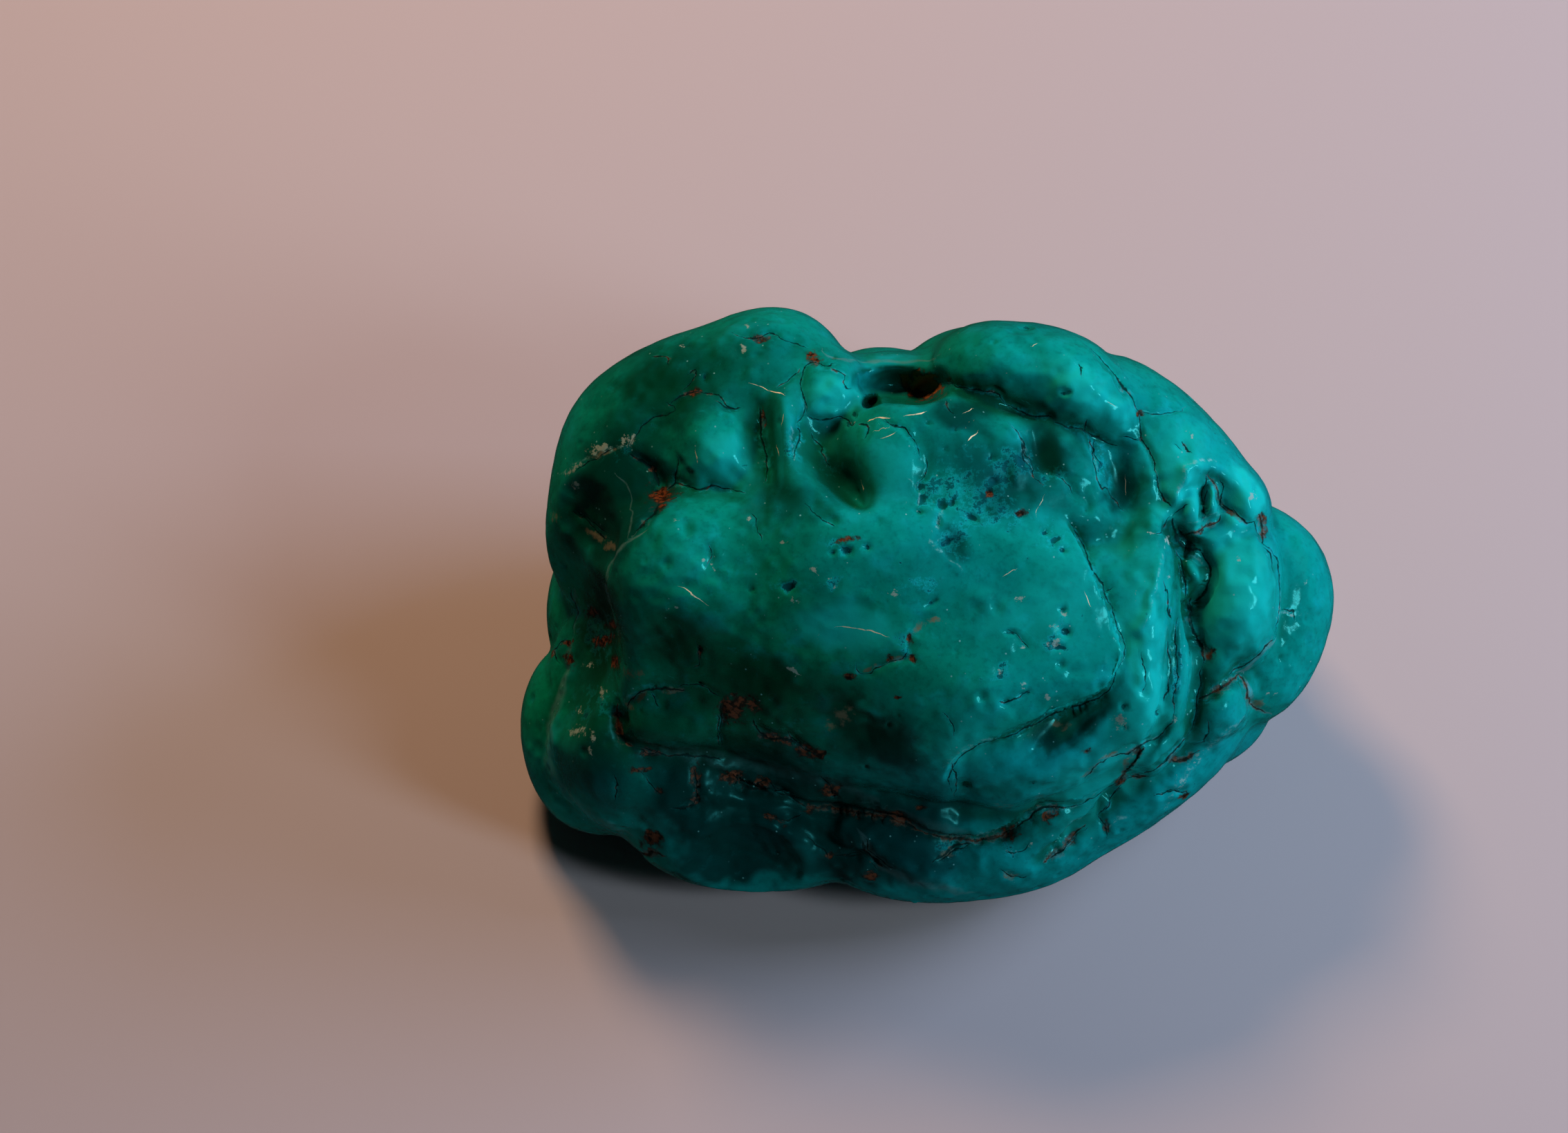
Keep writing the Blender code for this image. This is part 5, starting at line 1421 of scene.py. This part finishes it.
        # How hollow each point is: the material darkens hollows with it as painted shade.
        near = 1 - self.form.distance(points + self.probe_near * outward) / self.probe_near
        far = 1 - self.form.distance(points + self.probe_far * outward) / self.probe_far
        crest = 1 + self.form.distance(points - self.probe_near * outward) / self.probe_near
        pits = np.clip(self._cover(points, PIT_SPOTS, self.pit_wander), 0, 1) * facing
        hollow = 0.6 * np.clip(near, 0, 1) + 0.4 * np.clip(far, 0, 1)
        hollow = np.maximum(hollow, 0.7 * ease(self._cover(points, OLIVE_AND_PAINTED_SHADE_SPOTS, self.olive_and_shade_wander)) * facing)
        marks["hollows"] = np.stack([hollow, np.clip(crest, 0, 1), pits], axis=1)
        grit = np.clip(self._cover(points, GRIT_SPOTS, self.grit_wander), 0, 1) * facing
        grit += np.clip(2.0 * value_noise(points, 8.0, Pattern.HIDDEN_GRIT) - 0.5, 0, 1) * (1 - facing)
        # The third number is deeper or paler tone, partly painted shade and painted light.
        marks["tones_and_painted_shade"] = np.stack([self._blueness(points), grit, self._painted_shade_light_and_tone(points) * facing], axis=1)
        return marks

    def _painted_shade_light_and_tone(self, points: Array) -> Array:
        """How much deeper in colour the stone is; below 0, how much paler.

        This is partly the stone's own tone, partly painted shade on faces turned from the light and painted light on
        faces turned to it.

        Args:
            points: Points on the stone.

        Returns:
            The shade at each point, from -1 to 1.
        """
        places = self._warped(points, self.painted_shade_wander)
        shade = np.zeros(len(points))
        for spot in PAINTED_SHADE_LIGHT_AND_TONE_SPOTS:
            shade += spot.strength * ease(spot.cover(places) / spot.strength)
        return np.clip(shade, -1, 1)

    def _blueness(self, points: Array) -> Array:
        """How blue the stone is: more to the right, in its low front and behind.

        The blue on the right and in the low front is partly painted cool light, where the warm lamp doesn't reach.

        Args:
            points: Points on the stone.

        Returns:
            The blueness at each point, from 0 for green to 1.
        """
        across, up = points[:, 0], points[:, 1]
        right, low, high = ease((across + 24) / 46), ease((-11 - up) / 6), ease((up + 2) / 7)
        drift = 0.20 * value_noise(points, 9, Pattern.TONE) + 0.12 * value_noise(points, 3.5, Pattern.FINE_TONE)
        return np.clip(0.02 + 0.70 * right + 0.65 * low + 0.38 * high * (1 - right) + drift, 0, 1)


# Materials


class ShaderSheet:
    """Lays out the nodes of one material."""

    def __init__(self, name: str) -> None:
        """Starts a material with a Principled shader.

        Args:
            name: The material's name.
        """
        self.material = bpy.data.materials.new(name)
        self.material.use_nodes = True
        self.tree = self.material.node_tree
        self.shader = self.tree.nodes["Principled BSDF"]
        self._count = 0

    def _node(self, kind: str, **settings: object) -> bpy.types.Node:
        """Adds a node, and places it in the sheet.

        Args:
            kind: Blender's name for the node.
            settings: The node's own settings.

        Returns:
            The node.
        """
        node = self.tree.nodes.new(kind)
        node.location = (-220 * (1 + self._count // 9), -170 * (self._count % 9))
        self._count += 1
        for name, value in settings.items():
            setattr(node, name, value)
        return node

    def _feed(self, socket: Socket, value: object) -> None:
        """Joins a socket to an output, or sets it to a number or a colour.

        Args:
            socket: The socket.
            value: The output, number or colour.
        """
        if isinstance(value, Socket):
            self.tree.links.new(value, socket)
        elif isinstance(value, tuple) and len(value) == 3 and socket.type == "RGBA":
            socket.default_value = (*value, 1.0)
        else:
            socket.default_value = value

    def maths(self, operation: str, *values: object) -> Socket:
        """Works out one sum.

        Args:
            operation: Blender's name for the sum.
            values: Numbers or outputs that go into it.

        Returns:
            The result.
        """
        node = self._node("ShaderNodeMath", operation=operation)
        for socket, value in zip(node.inputs, values):
            self._feed(socket, value)
        return node.outputs[0]

    def plus(self, first: object, second: object) -> Socket:
        """The sum of two numbers or outputs."""
        return self.maths("ADD", first, second)

    def minus(self, first: object, second: object) -> Socket:
        """The first number or output less the second."""
        return self.maths("SUBTRACT", first, second)

    def times(self, first: object, second: object) -> Socket:
        """The product of two numbers or outputs."""
        return self.maths("MULTIPLY", first, second)

    def spread(self, value: object, low: object, high: object, start: object = 0.0, end: object = 1.0) -> Socket:
        """Eases from one number to another as a value goes from low to high.

        Args:
            value: The value.
            low: Where the step starts.
            high: Where it ends.
            start: The result at low.
            end: The result at high.

        Returns:
            The result.
        """
        node = self._node("ShaderNodeMapRange", interpolation_type="SMOOTHSTEP")
        for name, item in zip(("Value", "From Min", "From Max", "To Min", "To Max"), (value, low, high, start, end)):
            self._feed(node.inputs[name], item)
        return node.outputs["Result"]

    def mix(self, share: object, first: object, second: object) -> Socket:
        """Mixes two colours.

        Args:
            share: How much of the second, from 0 to 1.
            first: The first colour.
            second: The second colour.

        Returns:
            The mixed colour.
        """
        node = self._node("ShaderNodeMix", data_type="RGBA")
        for socket, value in zip((node.inputs[0], node.inputs[6], node.inputs[7]), (share, first, second)):
            self._feed(socket, value)
        return node.outputs[2]

    def noise(self, size: float, detail: float = 2.0, roughness: float = 0.5, offset: float = 0.0) -> Socket:
        """Random values over the piece, in its own space.

        Args:
            size: The width of one swelling, in millimetres.
            detail: How many finer layers are added.
            roughness: How strong the finer layers are.
            offset: Moves to another pattern.

        Returns:
            The values, from 0 to 1.
        """
        place = self._node("ShaderNodeTexCoord").outputs["Object"]
        moved = self._node("ShaderNodeVectorMath", operation="ADD")
        self._feed(moved.inputs[0], place)
        moved.inputs[1].default_value = (offset, offset * 0.37, -offset * 0.61)
        node = self._node("ShaderNodeTexNoise")
        self._feed(node.inputs["Vector"], moved.outputs[0])
        for name, value in (("Scale", 1 / (size * MM)), ("Detail", detail), ("Roughness", roughness)):
            node.inputs[name].default_value = value
        return node.outputs[0]

    def cells(self, size: float) -> Socket:
        """The distance to the nearest of points scattered over the piece.

        Args:
            size: The usual distance between the points, in millimetres.

        Returns:
            The distance, in sizes.
        """
        node = self._node("ShaderNodeTexVoronoi")
        self._feed(node.inputs["Vector"], self._node("ShaderNodeTexCoord").outputs["Object"])
        node.inputs["Scale"].default_value = 1 / (size * MM)
        return node.outputs["Distance"]

    def marks(self, name: str) -> list[Socket]:
        """Reads what is left at the piece's points.

        Args:
            name: The name that the three numbers were left under.

        Returns:
            The three numbers.
        """
        mark = self._node("ShaderNodeAttribute", attribute_name=name)
        parts = self._node("ShaderNodeSeparateXYZ")
        self._feed(parts.inputs[0], mark.outputs["Vector"])
        return list(parts.outputs)

    def bump(self, height: object, depth_mm: float, strength: float = 1.0) -> None:
        """Gives the shader a fine relief.

        Args:
            height: The relief, from 0 to 1.
            depth_mm: Its depth, in millimetres.
            strength: How much of it shows.
        """
        node = self._node("ShaderNodeBump")
        node.inputs["Strength"].default_value = strength
        node.inputs["Distance"].default_value = depth_mm * MM
        self._feed(node.inputs["Height"], height)
        self._feed(self.shader.inputs["Normal"], node.outputs[0])

    def set(self, name: str, value: object) -> None:
        """Sets or joins one of the shader's own sockets."""
        self._feed(self.shader.inputs[name], value)


@dataclass(frozen=True)
class TurquoiseFinish:
    """Waxy, tumble-polished turquoise with rusty matrix, chalky scuffs and grit.

    Its colour also holds painted shade, light, sheen, highlights and glints.
    """

    green: Triple = (0.0006, 0.196, 0.102)
    blue: Triple = (0.0010, 0.238, 0.228)
    cyan: Triple = (0.0030, 0.295, 0.300)
    # The deep colours darken the stone's random clouds, and also serve as painted shade.
    deep: Triple = (0.0003, 0.031, 0.011)
    deep_blue: Triple = (0.0003, 0.027, 0.028)
    # The moss colour is a dark olive used as painted shade in hollows and on shaded faces.
    olive_and_hollow_shade: Triple = (0.0010, 0.060, 0.024)
    # The pale colour is paler stone, partly painted light on faces turned to the light.
    pale: Triple = (0.005, 0.430, 0.375)
    ink: Triple = (0.0005, 0.028, 0.036)
    gap: Triple = (0.001, 0.012, 0.011)
    rust: Triple = (0.105, 0.034, 0.012)
    umber: Triple = (0.014, 0.007, 0.003)
    orange: Triple = (0.240, 0.090, 0.022)
    rind: Triple = (0.090, 0.070, 0.045)
    tan: Triple = (0.120, 0.125, 0.072)
    # The frost colour serves frosted edges, pale specks and painted highlights; the sheen colour is painted sheen in
    # place of reflection.
    frost_and_painted_light: Triple = (0.110, 0.380, 0.370)
    painted_sheen: Triple = (0.080, 0.210, 0.215)
    chalk_and_highlight: Triple = (0.210, 0.330, 0.280)
    # The glint colour is a painted glint of the warm lamp in the scratches.
    painted_glint: Triple = (0.640, 0.620, 0.400)
    polish: float = 0.10
    refraction: float = 1.32
    sheen_tint: Triple = (0.10, 1.00, 0.95)

    def material(self, groups: int) -> bpy.types.Material:
        """The stone's material.

        Args:
            groups: How many groups of seams are marked on the piece.

        Returns:
            The material.
        """
        sheet = ShaderSheet("turquoise_polished")
        plus, minus, times, spread, mix = sheet.plus, sheet.minus, sheet.times, sheet.spread, sheet.mix
        ragged = times(minus(sheet.noise(0.8, 4, 0.65, 11.0), 0.5), 2.2)
        fine, hollow = sheet.noise(0.55, 3, 0.6, 7.0), sheet.marks("hollows")[0]
        # Seam halos fade where the painted shade is deep.
        halo_outside_painted_shade = spread(sheet.marks("tones_and_painted_shade")[2], 0.1, 0.8, 1.0, 0.12)
        base, rough, height = self._body(sheet, fine, hollow)
        base, rough, height = self._stains(sheet, base, rough, height, ragged, fine)
        for number in range(groups):
            aside, width, fill = sheet.marks(f"seams_{number}")
            gap = sheet.maths("ABSOLUTE", plus(aside, times(ragged, 0.16)))
            wide = plus(times(width, spread(fine, 0.30, 0.66, 0.45, 1.35)), 0.0001)
            # A pale halo, a stained rim, then the split itself with its filling.
            halo = times(spread(gap, times(wide, 5.5), times(wide, 1.5), 0.0, 0.8), halo_outside_painted_shade)
            base = mix(times(halo, spread(ragged, -0.25, 0.45)), base, self.cyan)
            patchy = spread(plus(times(fill, 0.6), ragged), 0.35, 0.75)
            stained = spread(gap, times(wide, 2.6), times(wide, 1.0))
            base = mix(times(stained, times(patchy, 0.6)), base, self.rind)
            split = spread(gap, times(wide, 1.1), times(wide, 0.3))
            filling = mix(patchy, self.gap, mix(spread(fine, 0.40, 0.60), self.rust, self.umber))
            base = mix(times(split, 0.92), base, filling)
            rough = plus(rough, times(split, 0.30))
            height = minus(height, split)
        # Scratches coloured as painted glints.
        aside, width, _ = sheet.marks("scratches")
        painted_glint_line = spread(sheet.maths("ABSOLUTE", aside), times(width, 0.75), times(width, 0.4))
        base = mix(times(painted_glint_line, spread(ragged, -0.5, 0.1)), base, self.painted_glint)
        sheet.set("Base Color", base)
        sheet.set("Roughness", sheet.maths("MINIMUM", rough, 0.75))
        sheet.set("IOR", self.refraction)
        sheet.set("Specular Tint", self.sheen_tint)
        sheet.bump(height, 0.10, 0.6)
        return sheet.material

    def _body(self, sheet: ShaderSheet, fine: object, hollow: object) -> tuple[object, object, object]:
        """The stone itself: clouds of green and blue, darker hollows and porous patches.

        The darker hollows and the deeper and paler faces are partly painted shade and painted light.

        Args:
            sheet: The material's sheet.
            fine: Fine noise.
            hollow: How hollow the surface is.

        Returns:
            The colour, the roughness and the relief.
        """
        plus, minus, times, spread, mix = sheet.plus, sheet.minus, sheet.times, sheet.spread, sheet.mix
        broad, middle = sheet.noise(11, 3), sheet.noise(3.2, 4, 0.6, 3.0)
        blueness, grit, shade = sheet.marks("tones_and_painted_shade")
        _, crest, pits = sheet.marks("hollows")
        base, deep = mix(blueness, self.green, self.blue), mix(blueness, self.deep, self.deep_blue)
        # Broad, middling and fine clouds of deeper and paler stone.
        base = mix(spread(broad, 0.50, 0.70, 0.0, 0.25), base, deep)
        base = mix(spread(middle, 0.50, 0.74, 0.0, 0.30), base, deep)
        base = mix(spread(middle, 0.47, 0.28, 0.0, 0.45), base, self.cyan)
        base = mix(spread(fine, 0.45, 0.75, 0.0, 0.28), base, deep)
        # Worn crests; darker olive hollows, which are painted shade; and the deeper and paler tone drawn on
        # the face, partly painted shade and painted light.
        worn = times(spread(crest, 0.06, 0.45), spread(middle, 0.65, 0.35, 0.25, 0.8))
        base = mix(worn, base, self.cyan)
        # Hollows painted darker olive, as painted shade.
        base = mix(spread(hollow, 0.06, 0.6, 0.0, 0.80), base, self.olive_and_hollow_shade)
        # Painted shade darkens and painted light pales the colour, partly the stone's own tone.
        base = mix(spread(shade, 0.0, 1.0, 0.0, 0.93), base, deep)
        base = mix(spread(shade, 0.0, -1.0, 0.0, 0.75), base, self.pale)
        # Porous patches with pale rims, densest where there is grit.
        porous = plus(sheet.noise(1.5, 7, 0.75, 17.0), spread(grit, 0.0, 1.0, 0.0, 0.16))
        porous = plus(porous, spread(pits, 0.0, 0.8, 0.0, 0.20))
        rimmed = times(spread(porous, 0.58, 0.67), spread(grit, 0.0, 0.7, 0.20, 0.75))
        # Pale rims fade under painted shade.
        rimmed = times(rimmed, spread(shade, 0.3, 0.9, 1.0, 0.35))
        base = mix(rimmed, base, self.cyan)
        sunk = spread(porous, 0.665, 0.72)
        base = mix(times(sunk, 0.75), base, self.ink)
        rough = spread(fine, 0.3, 0.8, self.polish, self.polish + 0.10)
        rough = plus(rough, times(plus(rimmed, grit), 0.12))
        rough = plus(rough, spread(shade, 0.2, 0.9, 0.0, 0.22))
        height = minus(times(fine, 0.22), times(sunk, 0.7))
        return base, rough, height

    def _stains(
        self, sheet: ShaderSheet, base: object, rough: object, height: object, ragged: object, fine: object
    ) -> tuple[object, object, object]:
        """Matrix, tan and chalky patches, frosted edges and specks.

        Some chalky patches and frosted edges are painted highlights, and smooth edges are painted sheen.

        Args:
            sheet: The material's sheet.
            base: The colour so far.
            rough: The roughness so far.
            height: The relief so far.
            ragged: Noise that makes edges ragged.
            fine: Fine noise.

        Returns:
            The colour, the roughness and the relief.
        """
        plus, minus, times, spread, mix = sheet.plus, sheet.minus, sheet.times, sheet.spread, sheet.mix
        matrix, tan, chalk_and_highlight = sheet.marks("stains")
        # Tan rind and chalky scuffs.
        covered = spread(plus(tan, ragged), 0.15, 0.7)
        base = mix(times(covered, 0.75), base, self.tan)
        crumbs = times(minus(sheet.noise(0.5, 4, 0.7, 31.0), 0.5), 3.0)
        # Chalk patches, some of them painted highlights.
        chalk_and_highlight_share = spread(plus(chalk_and_highlight, crumbs), 0.45, 0.75)
        base = mix(times(chalk_and_highlight_share, 0.8), base, self.chalk_and_highlight)
        # Frosted edges: crumbly frost, some of it painted highlights; smooth bands of painted sheen that
        # stand for reflection; and pale specks.
        aside, width, strength = sheet.marks("frost_and_painted_light")
        edge = spread(sheet.maths("ABSOLUTE", aside), times(width, 2.6), times(width, 0.3))
        # Below 0 the line is a smooth painted sheen, in place of reflection.
        smooth = spread(strength, 0.0, -0.01)
        whole = times(smooth, spread(ragged, -0.6, 0.2))
        kept = sheet.maths("MAXIMUM", spread(crumbs, -0.15, 0.50), whole)
        edge = times(edge, times(sheet.maths("ABSOLUTE", strength), kept))
        base = mix(times(edge, 0.85), base, mix(smooth, self.frost_and_painted_light, self.painted_sheen))
        specks, where = spread(sheet.cells(1.3), 0.085, 0.045), sheet.noise(5, 2, 0.5, 23.0)
        dots = times(specks, spread(where, 0.42, 0.56))
        base = mix(times(dots, 0.8), base, self.frost_and_painted_light)
        # Rusty matrix with a dark rim.
        rim = spread(plus(matrix, ragged), -0.10, 0.25)
        core = spread(plus(matrix, ragged), 0.12, 0.42)
        base = mix(times(rim, 0.60), base, self.umber)
        rusty = mix(spread(fine, 0.42, 0.58), self.rust, self.umber)
        rusty = mix(covered, rusty, self.orange)
        base = mix(core, base, rusty)
        rough = plus(rough, times(sheet.maths("MAXIMUM", rim, chalk_and_highlight_share), 0.35))
        height = minus(height, times(core, 0.5))
        return base, rough, height


@dataclass(frozen=True)
class ClothFinish:
    """A pale, matt surface."""

    colour: Triple = (0.365, 0.355, 0.355)
    roughness: float = 0.9

    def material(self) -> bpy.types.Material:
        """The floor's material.

        Returns:
            The material.
        """
        sheet = ShaderSheet("pale_matt")
        sheet.set("Base Color", self.colour)
        sheet.set("Roughness", self.roughness)
        return sheet.material


# The piece


def mesh_from(name: str, points: Array, faces: Array) -> bpy.types.Mesh:
    """A mesh of four-sided faces.

    Args:
        name: The mesh's name.
        points: The points in metres.
        faces: The four point numbers of each face.

    Returns:
        The mesh.
    """
    mesh = bpy.data.meshes.new(name)
    mesh.vertices.add(len(points))
    mesh.vertices.foreach_set("co", points.astype(np.float32).ravel())
    mesh.loops.add(faces.size)
    mesh.loops.foreach_set("vertex_index", faces.astype(np.int32).ravel())
    mesh.polygons.add(len(faces))
    mesh.polygons.foreach_set("loop_start", np.arange(0, faces.size, 4, dtype=np.int32))
    mesh.update(calc_edges=True)
    mesh.validate()
    return mesh


@dataclass
class Nugget:
    """The stone: its net, relief, marks and finish."""

    skin: StoneSkin = field(default_factory=StoneSkin)
    finish: TurquoiseFinish = TurquoiseFinish()
    spacing: float = 0.28
    quick_spacing: float = 0.55
    most_triangles: int = 196_000
    piece: bpy.types.Object | None = None
    shift: Array = field(default_factory=lambda: np.zeros(3))

    def build(self) -> bpy.types.Object:
        """Draws the stone's mesh and leaves the marks on it.

        Returns:
            The piece.
        """
        form = self.skin.form
        LOG.info("form of %s", ", ".join(form.names()))
        net = SurfaceNet(spacing=self.spacing)
        points, faces = net.draw(form)
        LOG.info("net of %d points and %d faces", len(points), len(faces))
        _, outward = form.slope(points)
        points += self.skin.relief(points, outward)[:, None] * outward
        mesh = mesh_from("stone", form.face_frame.stand(points), faces)
        self.piece = bpy.data.objects.new("stone", mesh)
        bpy.context.scene.collection.objects.link(self.piece)
        self._thin_out()
        self._mark()
        self._centre()
        return self.piece

    def _thin_out(self) -> None:
        """Joins the smallest faces, so that the mesh stays within its number of triangles."""
        triangles = 2 * len(self.piece.data.polygons)
        if triangles > self.most_triangles:
            fewer = self.piece.modifiers.new("fewer faces", "DECIMATE")
            fewer.ratio = self.most_triangles / triangles
            bpy.context.view_layer.update()
            evaluated = self.piece.evaluated_get(bpy.context.evaluated_depsgraph_get())
            self.piece.data = bpy.data.meshes.new_from_object(evaluated)
            self.piece.modifiers.clear()
        self.piece.data.shade_smooth()
        LOG.info("stone has %d faces", len(self.piece.data.polygons))

    def _points(self) -> Array:
        """Reads the mesh's points.

        Returns:
            The points in metres.
        """
        flat = np.empty(len(self.piece.data.vertices) * 3, np.float32)
        self.piece.data.vertices.foreach_get("co", flat)
        return flat.reshape(-1, 3).astype(float)

    def _mark(self) -> None:
        """Leaves the marks that the material reads at the mesh's points."""
        points = self.skin.form.face_frame.lay(self._points())
        _, outward = self.skin.form.slope(points)
        for name, values in self.skin.marks(points, outward).items():
            attribute = self.piece.data.attributes.new(name, "FLOAT_VECTOR", "POINT")
            attribute.data.foreach_set("vector", values.astype(np.float32).ravel())

    def _centre(self) -> None:
        """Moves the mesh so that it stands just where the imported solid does."""
        points = self._points()
        low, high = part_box(NODE)
        middle = (np.array(low) + np.array(high)) / 2
        self.shift = middle - (points.min(axis=0) + points.max(axis=0)) / 2
        self.shift[2] = low[2] - points[:, 2].min()
        moved = points + self.shift
        self.piece.data.vertices.foreach_set("co", moved.astype(np.float32).ravel())
        self.piece.data.update()
        size, packed = (points.max(axis=0) - points.min(axis=0)) / MM, (np.array(high) - np.array(low)) / MM
        LOG.info("stone is %s mm, its solid %s mm", np.round(size, 2), np.round(packed, 2))

    def dress(self) -> None:
        """Gives the piece its material, and joins it to the frame."""
        groups = sum(name.startswith("seams_") for name in self.piece.data.attributes.keys())
        self.piece.data.materials.append(self.finish.material(groups))
        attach(self.piece, BODY)
        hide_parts(NODE)


# Floor, light and camera


@dataclass
class PaleFloor:
    """What the stone lies on."""

    half_width: float = 1.2
    finish: ClothFinish = ClothFinish()

    def build(self) -> bpy.types.Object:
        """Lays the floor at height 0.

        Returns:
            The floor.
        """
        reach = self.half_width
        corners = np.array([(-reach, -reach, 0), (reach, -reach, 0), (reach, reach, 0), (-reach, reach, 0)])
        mesh = mesh_from("floor", corners, np.array([[0, 1, 2, 3]]))
        floor = bpy.data.objects.new("floor", mesh)
        bpy.context.scene.collection.objects.link(floor)
        mesh.materials.append(self.finish.material())
        floor.visible_glossy = False
        return floor


@dataclass(frozen=True)
class AreaLamp:
    """A glowing rectangle that faces the stone."""

    name: str
    towards: Triple
    distance: float
    size: Pair
    colour: Triple
    power: float
    in_polish: bool = True

    def hang(self) -> bpy.types.Object:
        """Puts the lamp in place.

        Returns:
            The lamp.
        """
        light = bpy.data.lights.new(self.name, "AREA")
        light.shape = "RECTANGLE"
        light.size, light.size_y = self.size
        light.color = self.colour
        light.energy = self.power
        lamp = bpy.data.objects.new(self.name, light)
        lamp.visible_glossy = self.in_polish
        way = Vector(self.towards).normalized()
        lamp.location = way * self.distance + Vector((0, 0, 0.02))
        lamp.rotation_euler = way.to_track_quat("Z", "Y").to_euler()
        bpy.context.scene.collection.objects.link(lamp)
        return lamp


@dataclass(frozen=True)
class StudioLight:
    """A cool window from the right, a warm lamp from the upper left, and a dim room."""

    lamps: tuple[AreaLamp, ...] = (
        AreaLamp("window", (0.86, 0.25, 0.44), 0.50, (0.28, 0.24), (0.61, 0.71, 1.0), 3.4, in_polish=False),
        AreaLamp("softbox", (0.72, -0.38, 0.57), 0.60, (0.10, 0.23), (0.80, 0.87, 1.0), 1.45),
        AreaLamp("lamp", (-0.28, 0.60, 0.75), 0.35, (0.09, 0.09), (1.0, 0.55, 0.33), 1.20, in_polish=False),
    )
    room: Triple = (0.55, 0.58, 0.65)
    room_strength: float = 0.015

    def build(self) -> None:
        """Hangs the lamps and sets the room's light."""
        for lamp in self.lamps:
            lamp.hang()
        world = bpy.data.worlds.new("room")
        world.use_nodes = True
        background = world.node_tree.nodes["Background"]
        background.inputs["Color"].default_value = (*self.room, 1.0)
        background.inputs["Strength"].default_value = self.room_strength
        bpy.context.scene.world = world
        bpy.context.scene.view_settings.view_transform = "Standard"


@dataclass(frozen=True)
class FaceCamera:
    """The camera, square on to the stone's broad face."""

    aim: Pair = (-14.07, 3.57)
    distance: float = 515.0
    frame_width: float = 151.2
    sensor: float = 36.0

    def build(self, face_frame: FaceFrame, shift: Array) -> bpy.types.Object:
        """Puts the camera in place.

        Args:
            face_frame: The stone's face frame.
            shift: How far the stone was moved from its own frame, in metres.

        Returns:
            The camera.
        """
        lens = bpy.data.cameras.new("camera")
        lens.sensor_width = self.sensor
        lens.lens = self.sensor * self.distance / self.frame_width
        lens.clip_start, lens.clip_end = 0.01, 20.0
        camera = bpy.data.objects.new("camera", lens)
        place = face_frame.stand(np.array([(*self.aim, self.distance)]))[0] + shift
        camera.matrix_world = Matrix.Translation(place) @ Matrix.Rotation(face_frame.lean, 4, "X")
        bpy.context.scene.collection.objects.link(camera)
        bpy.context.scene.camera = camera
        return camera


# The scene


def main() -> None:
    """Builds the stone, its floor, light and camera, one after another."""
    logging.basicConfig(level=logging.INFO, format="%(name)s: %(message)s")
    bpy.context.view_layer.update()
    nugget = Nugget()
    nugget.build()
    nugget.dress()
    LOG.info("stone dressed")
    PaleFloor().build()
    StudioLight().build()
    FaceCamera().build(nugget.skin.form.face_frame, nugget.shift)
    LOG.info("floor, light and camera in place")
    bpy.context.view_layer.update()


if __name__ == "__main__":
    main()
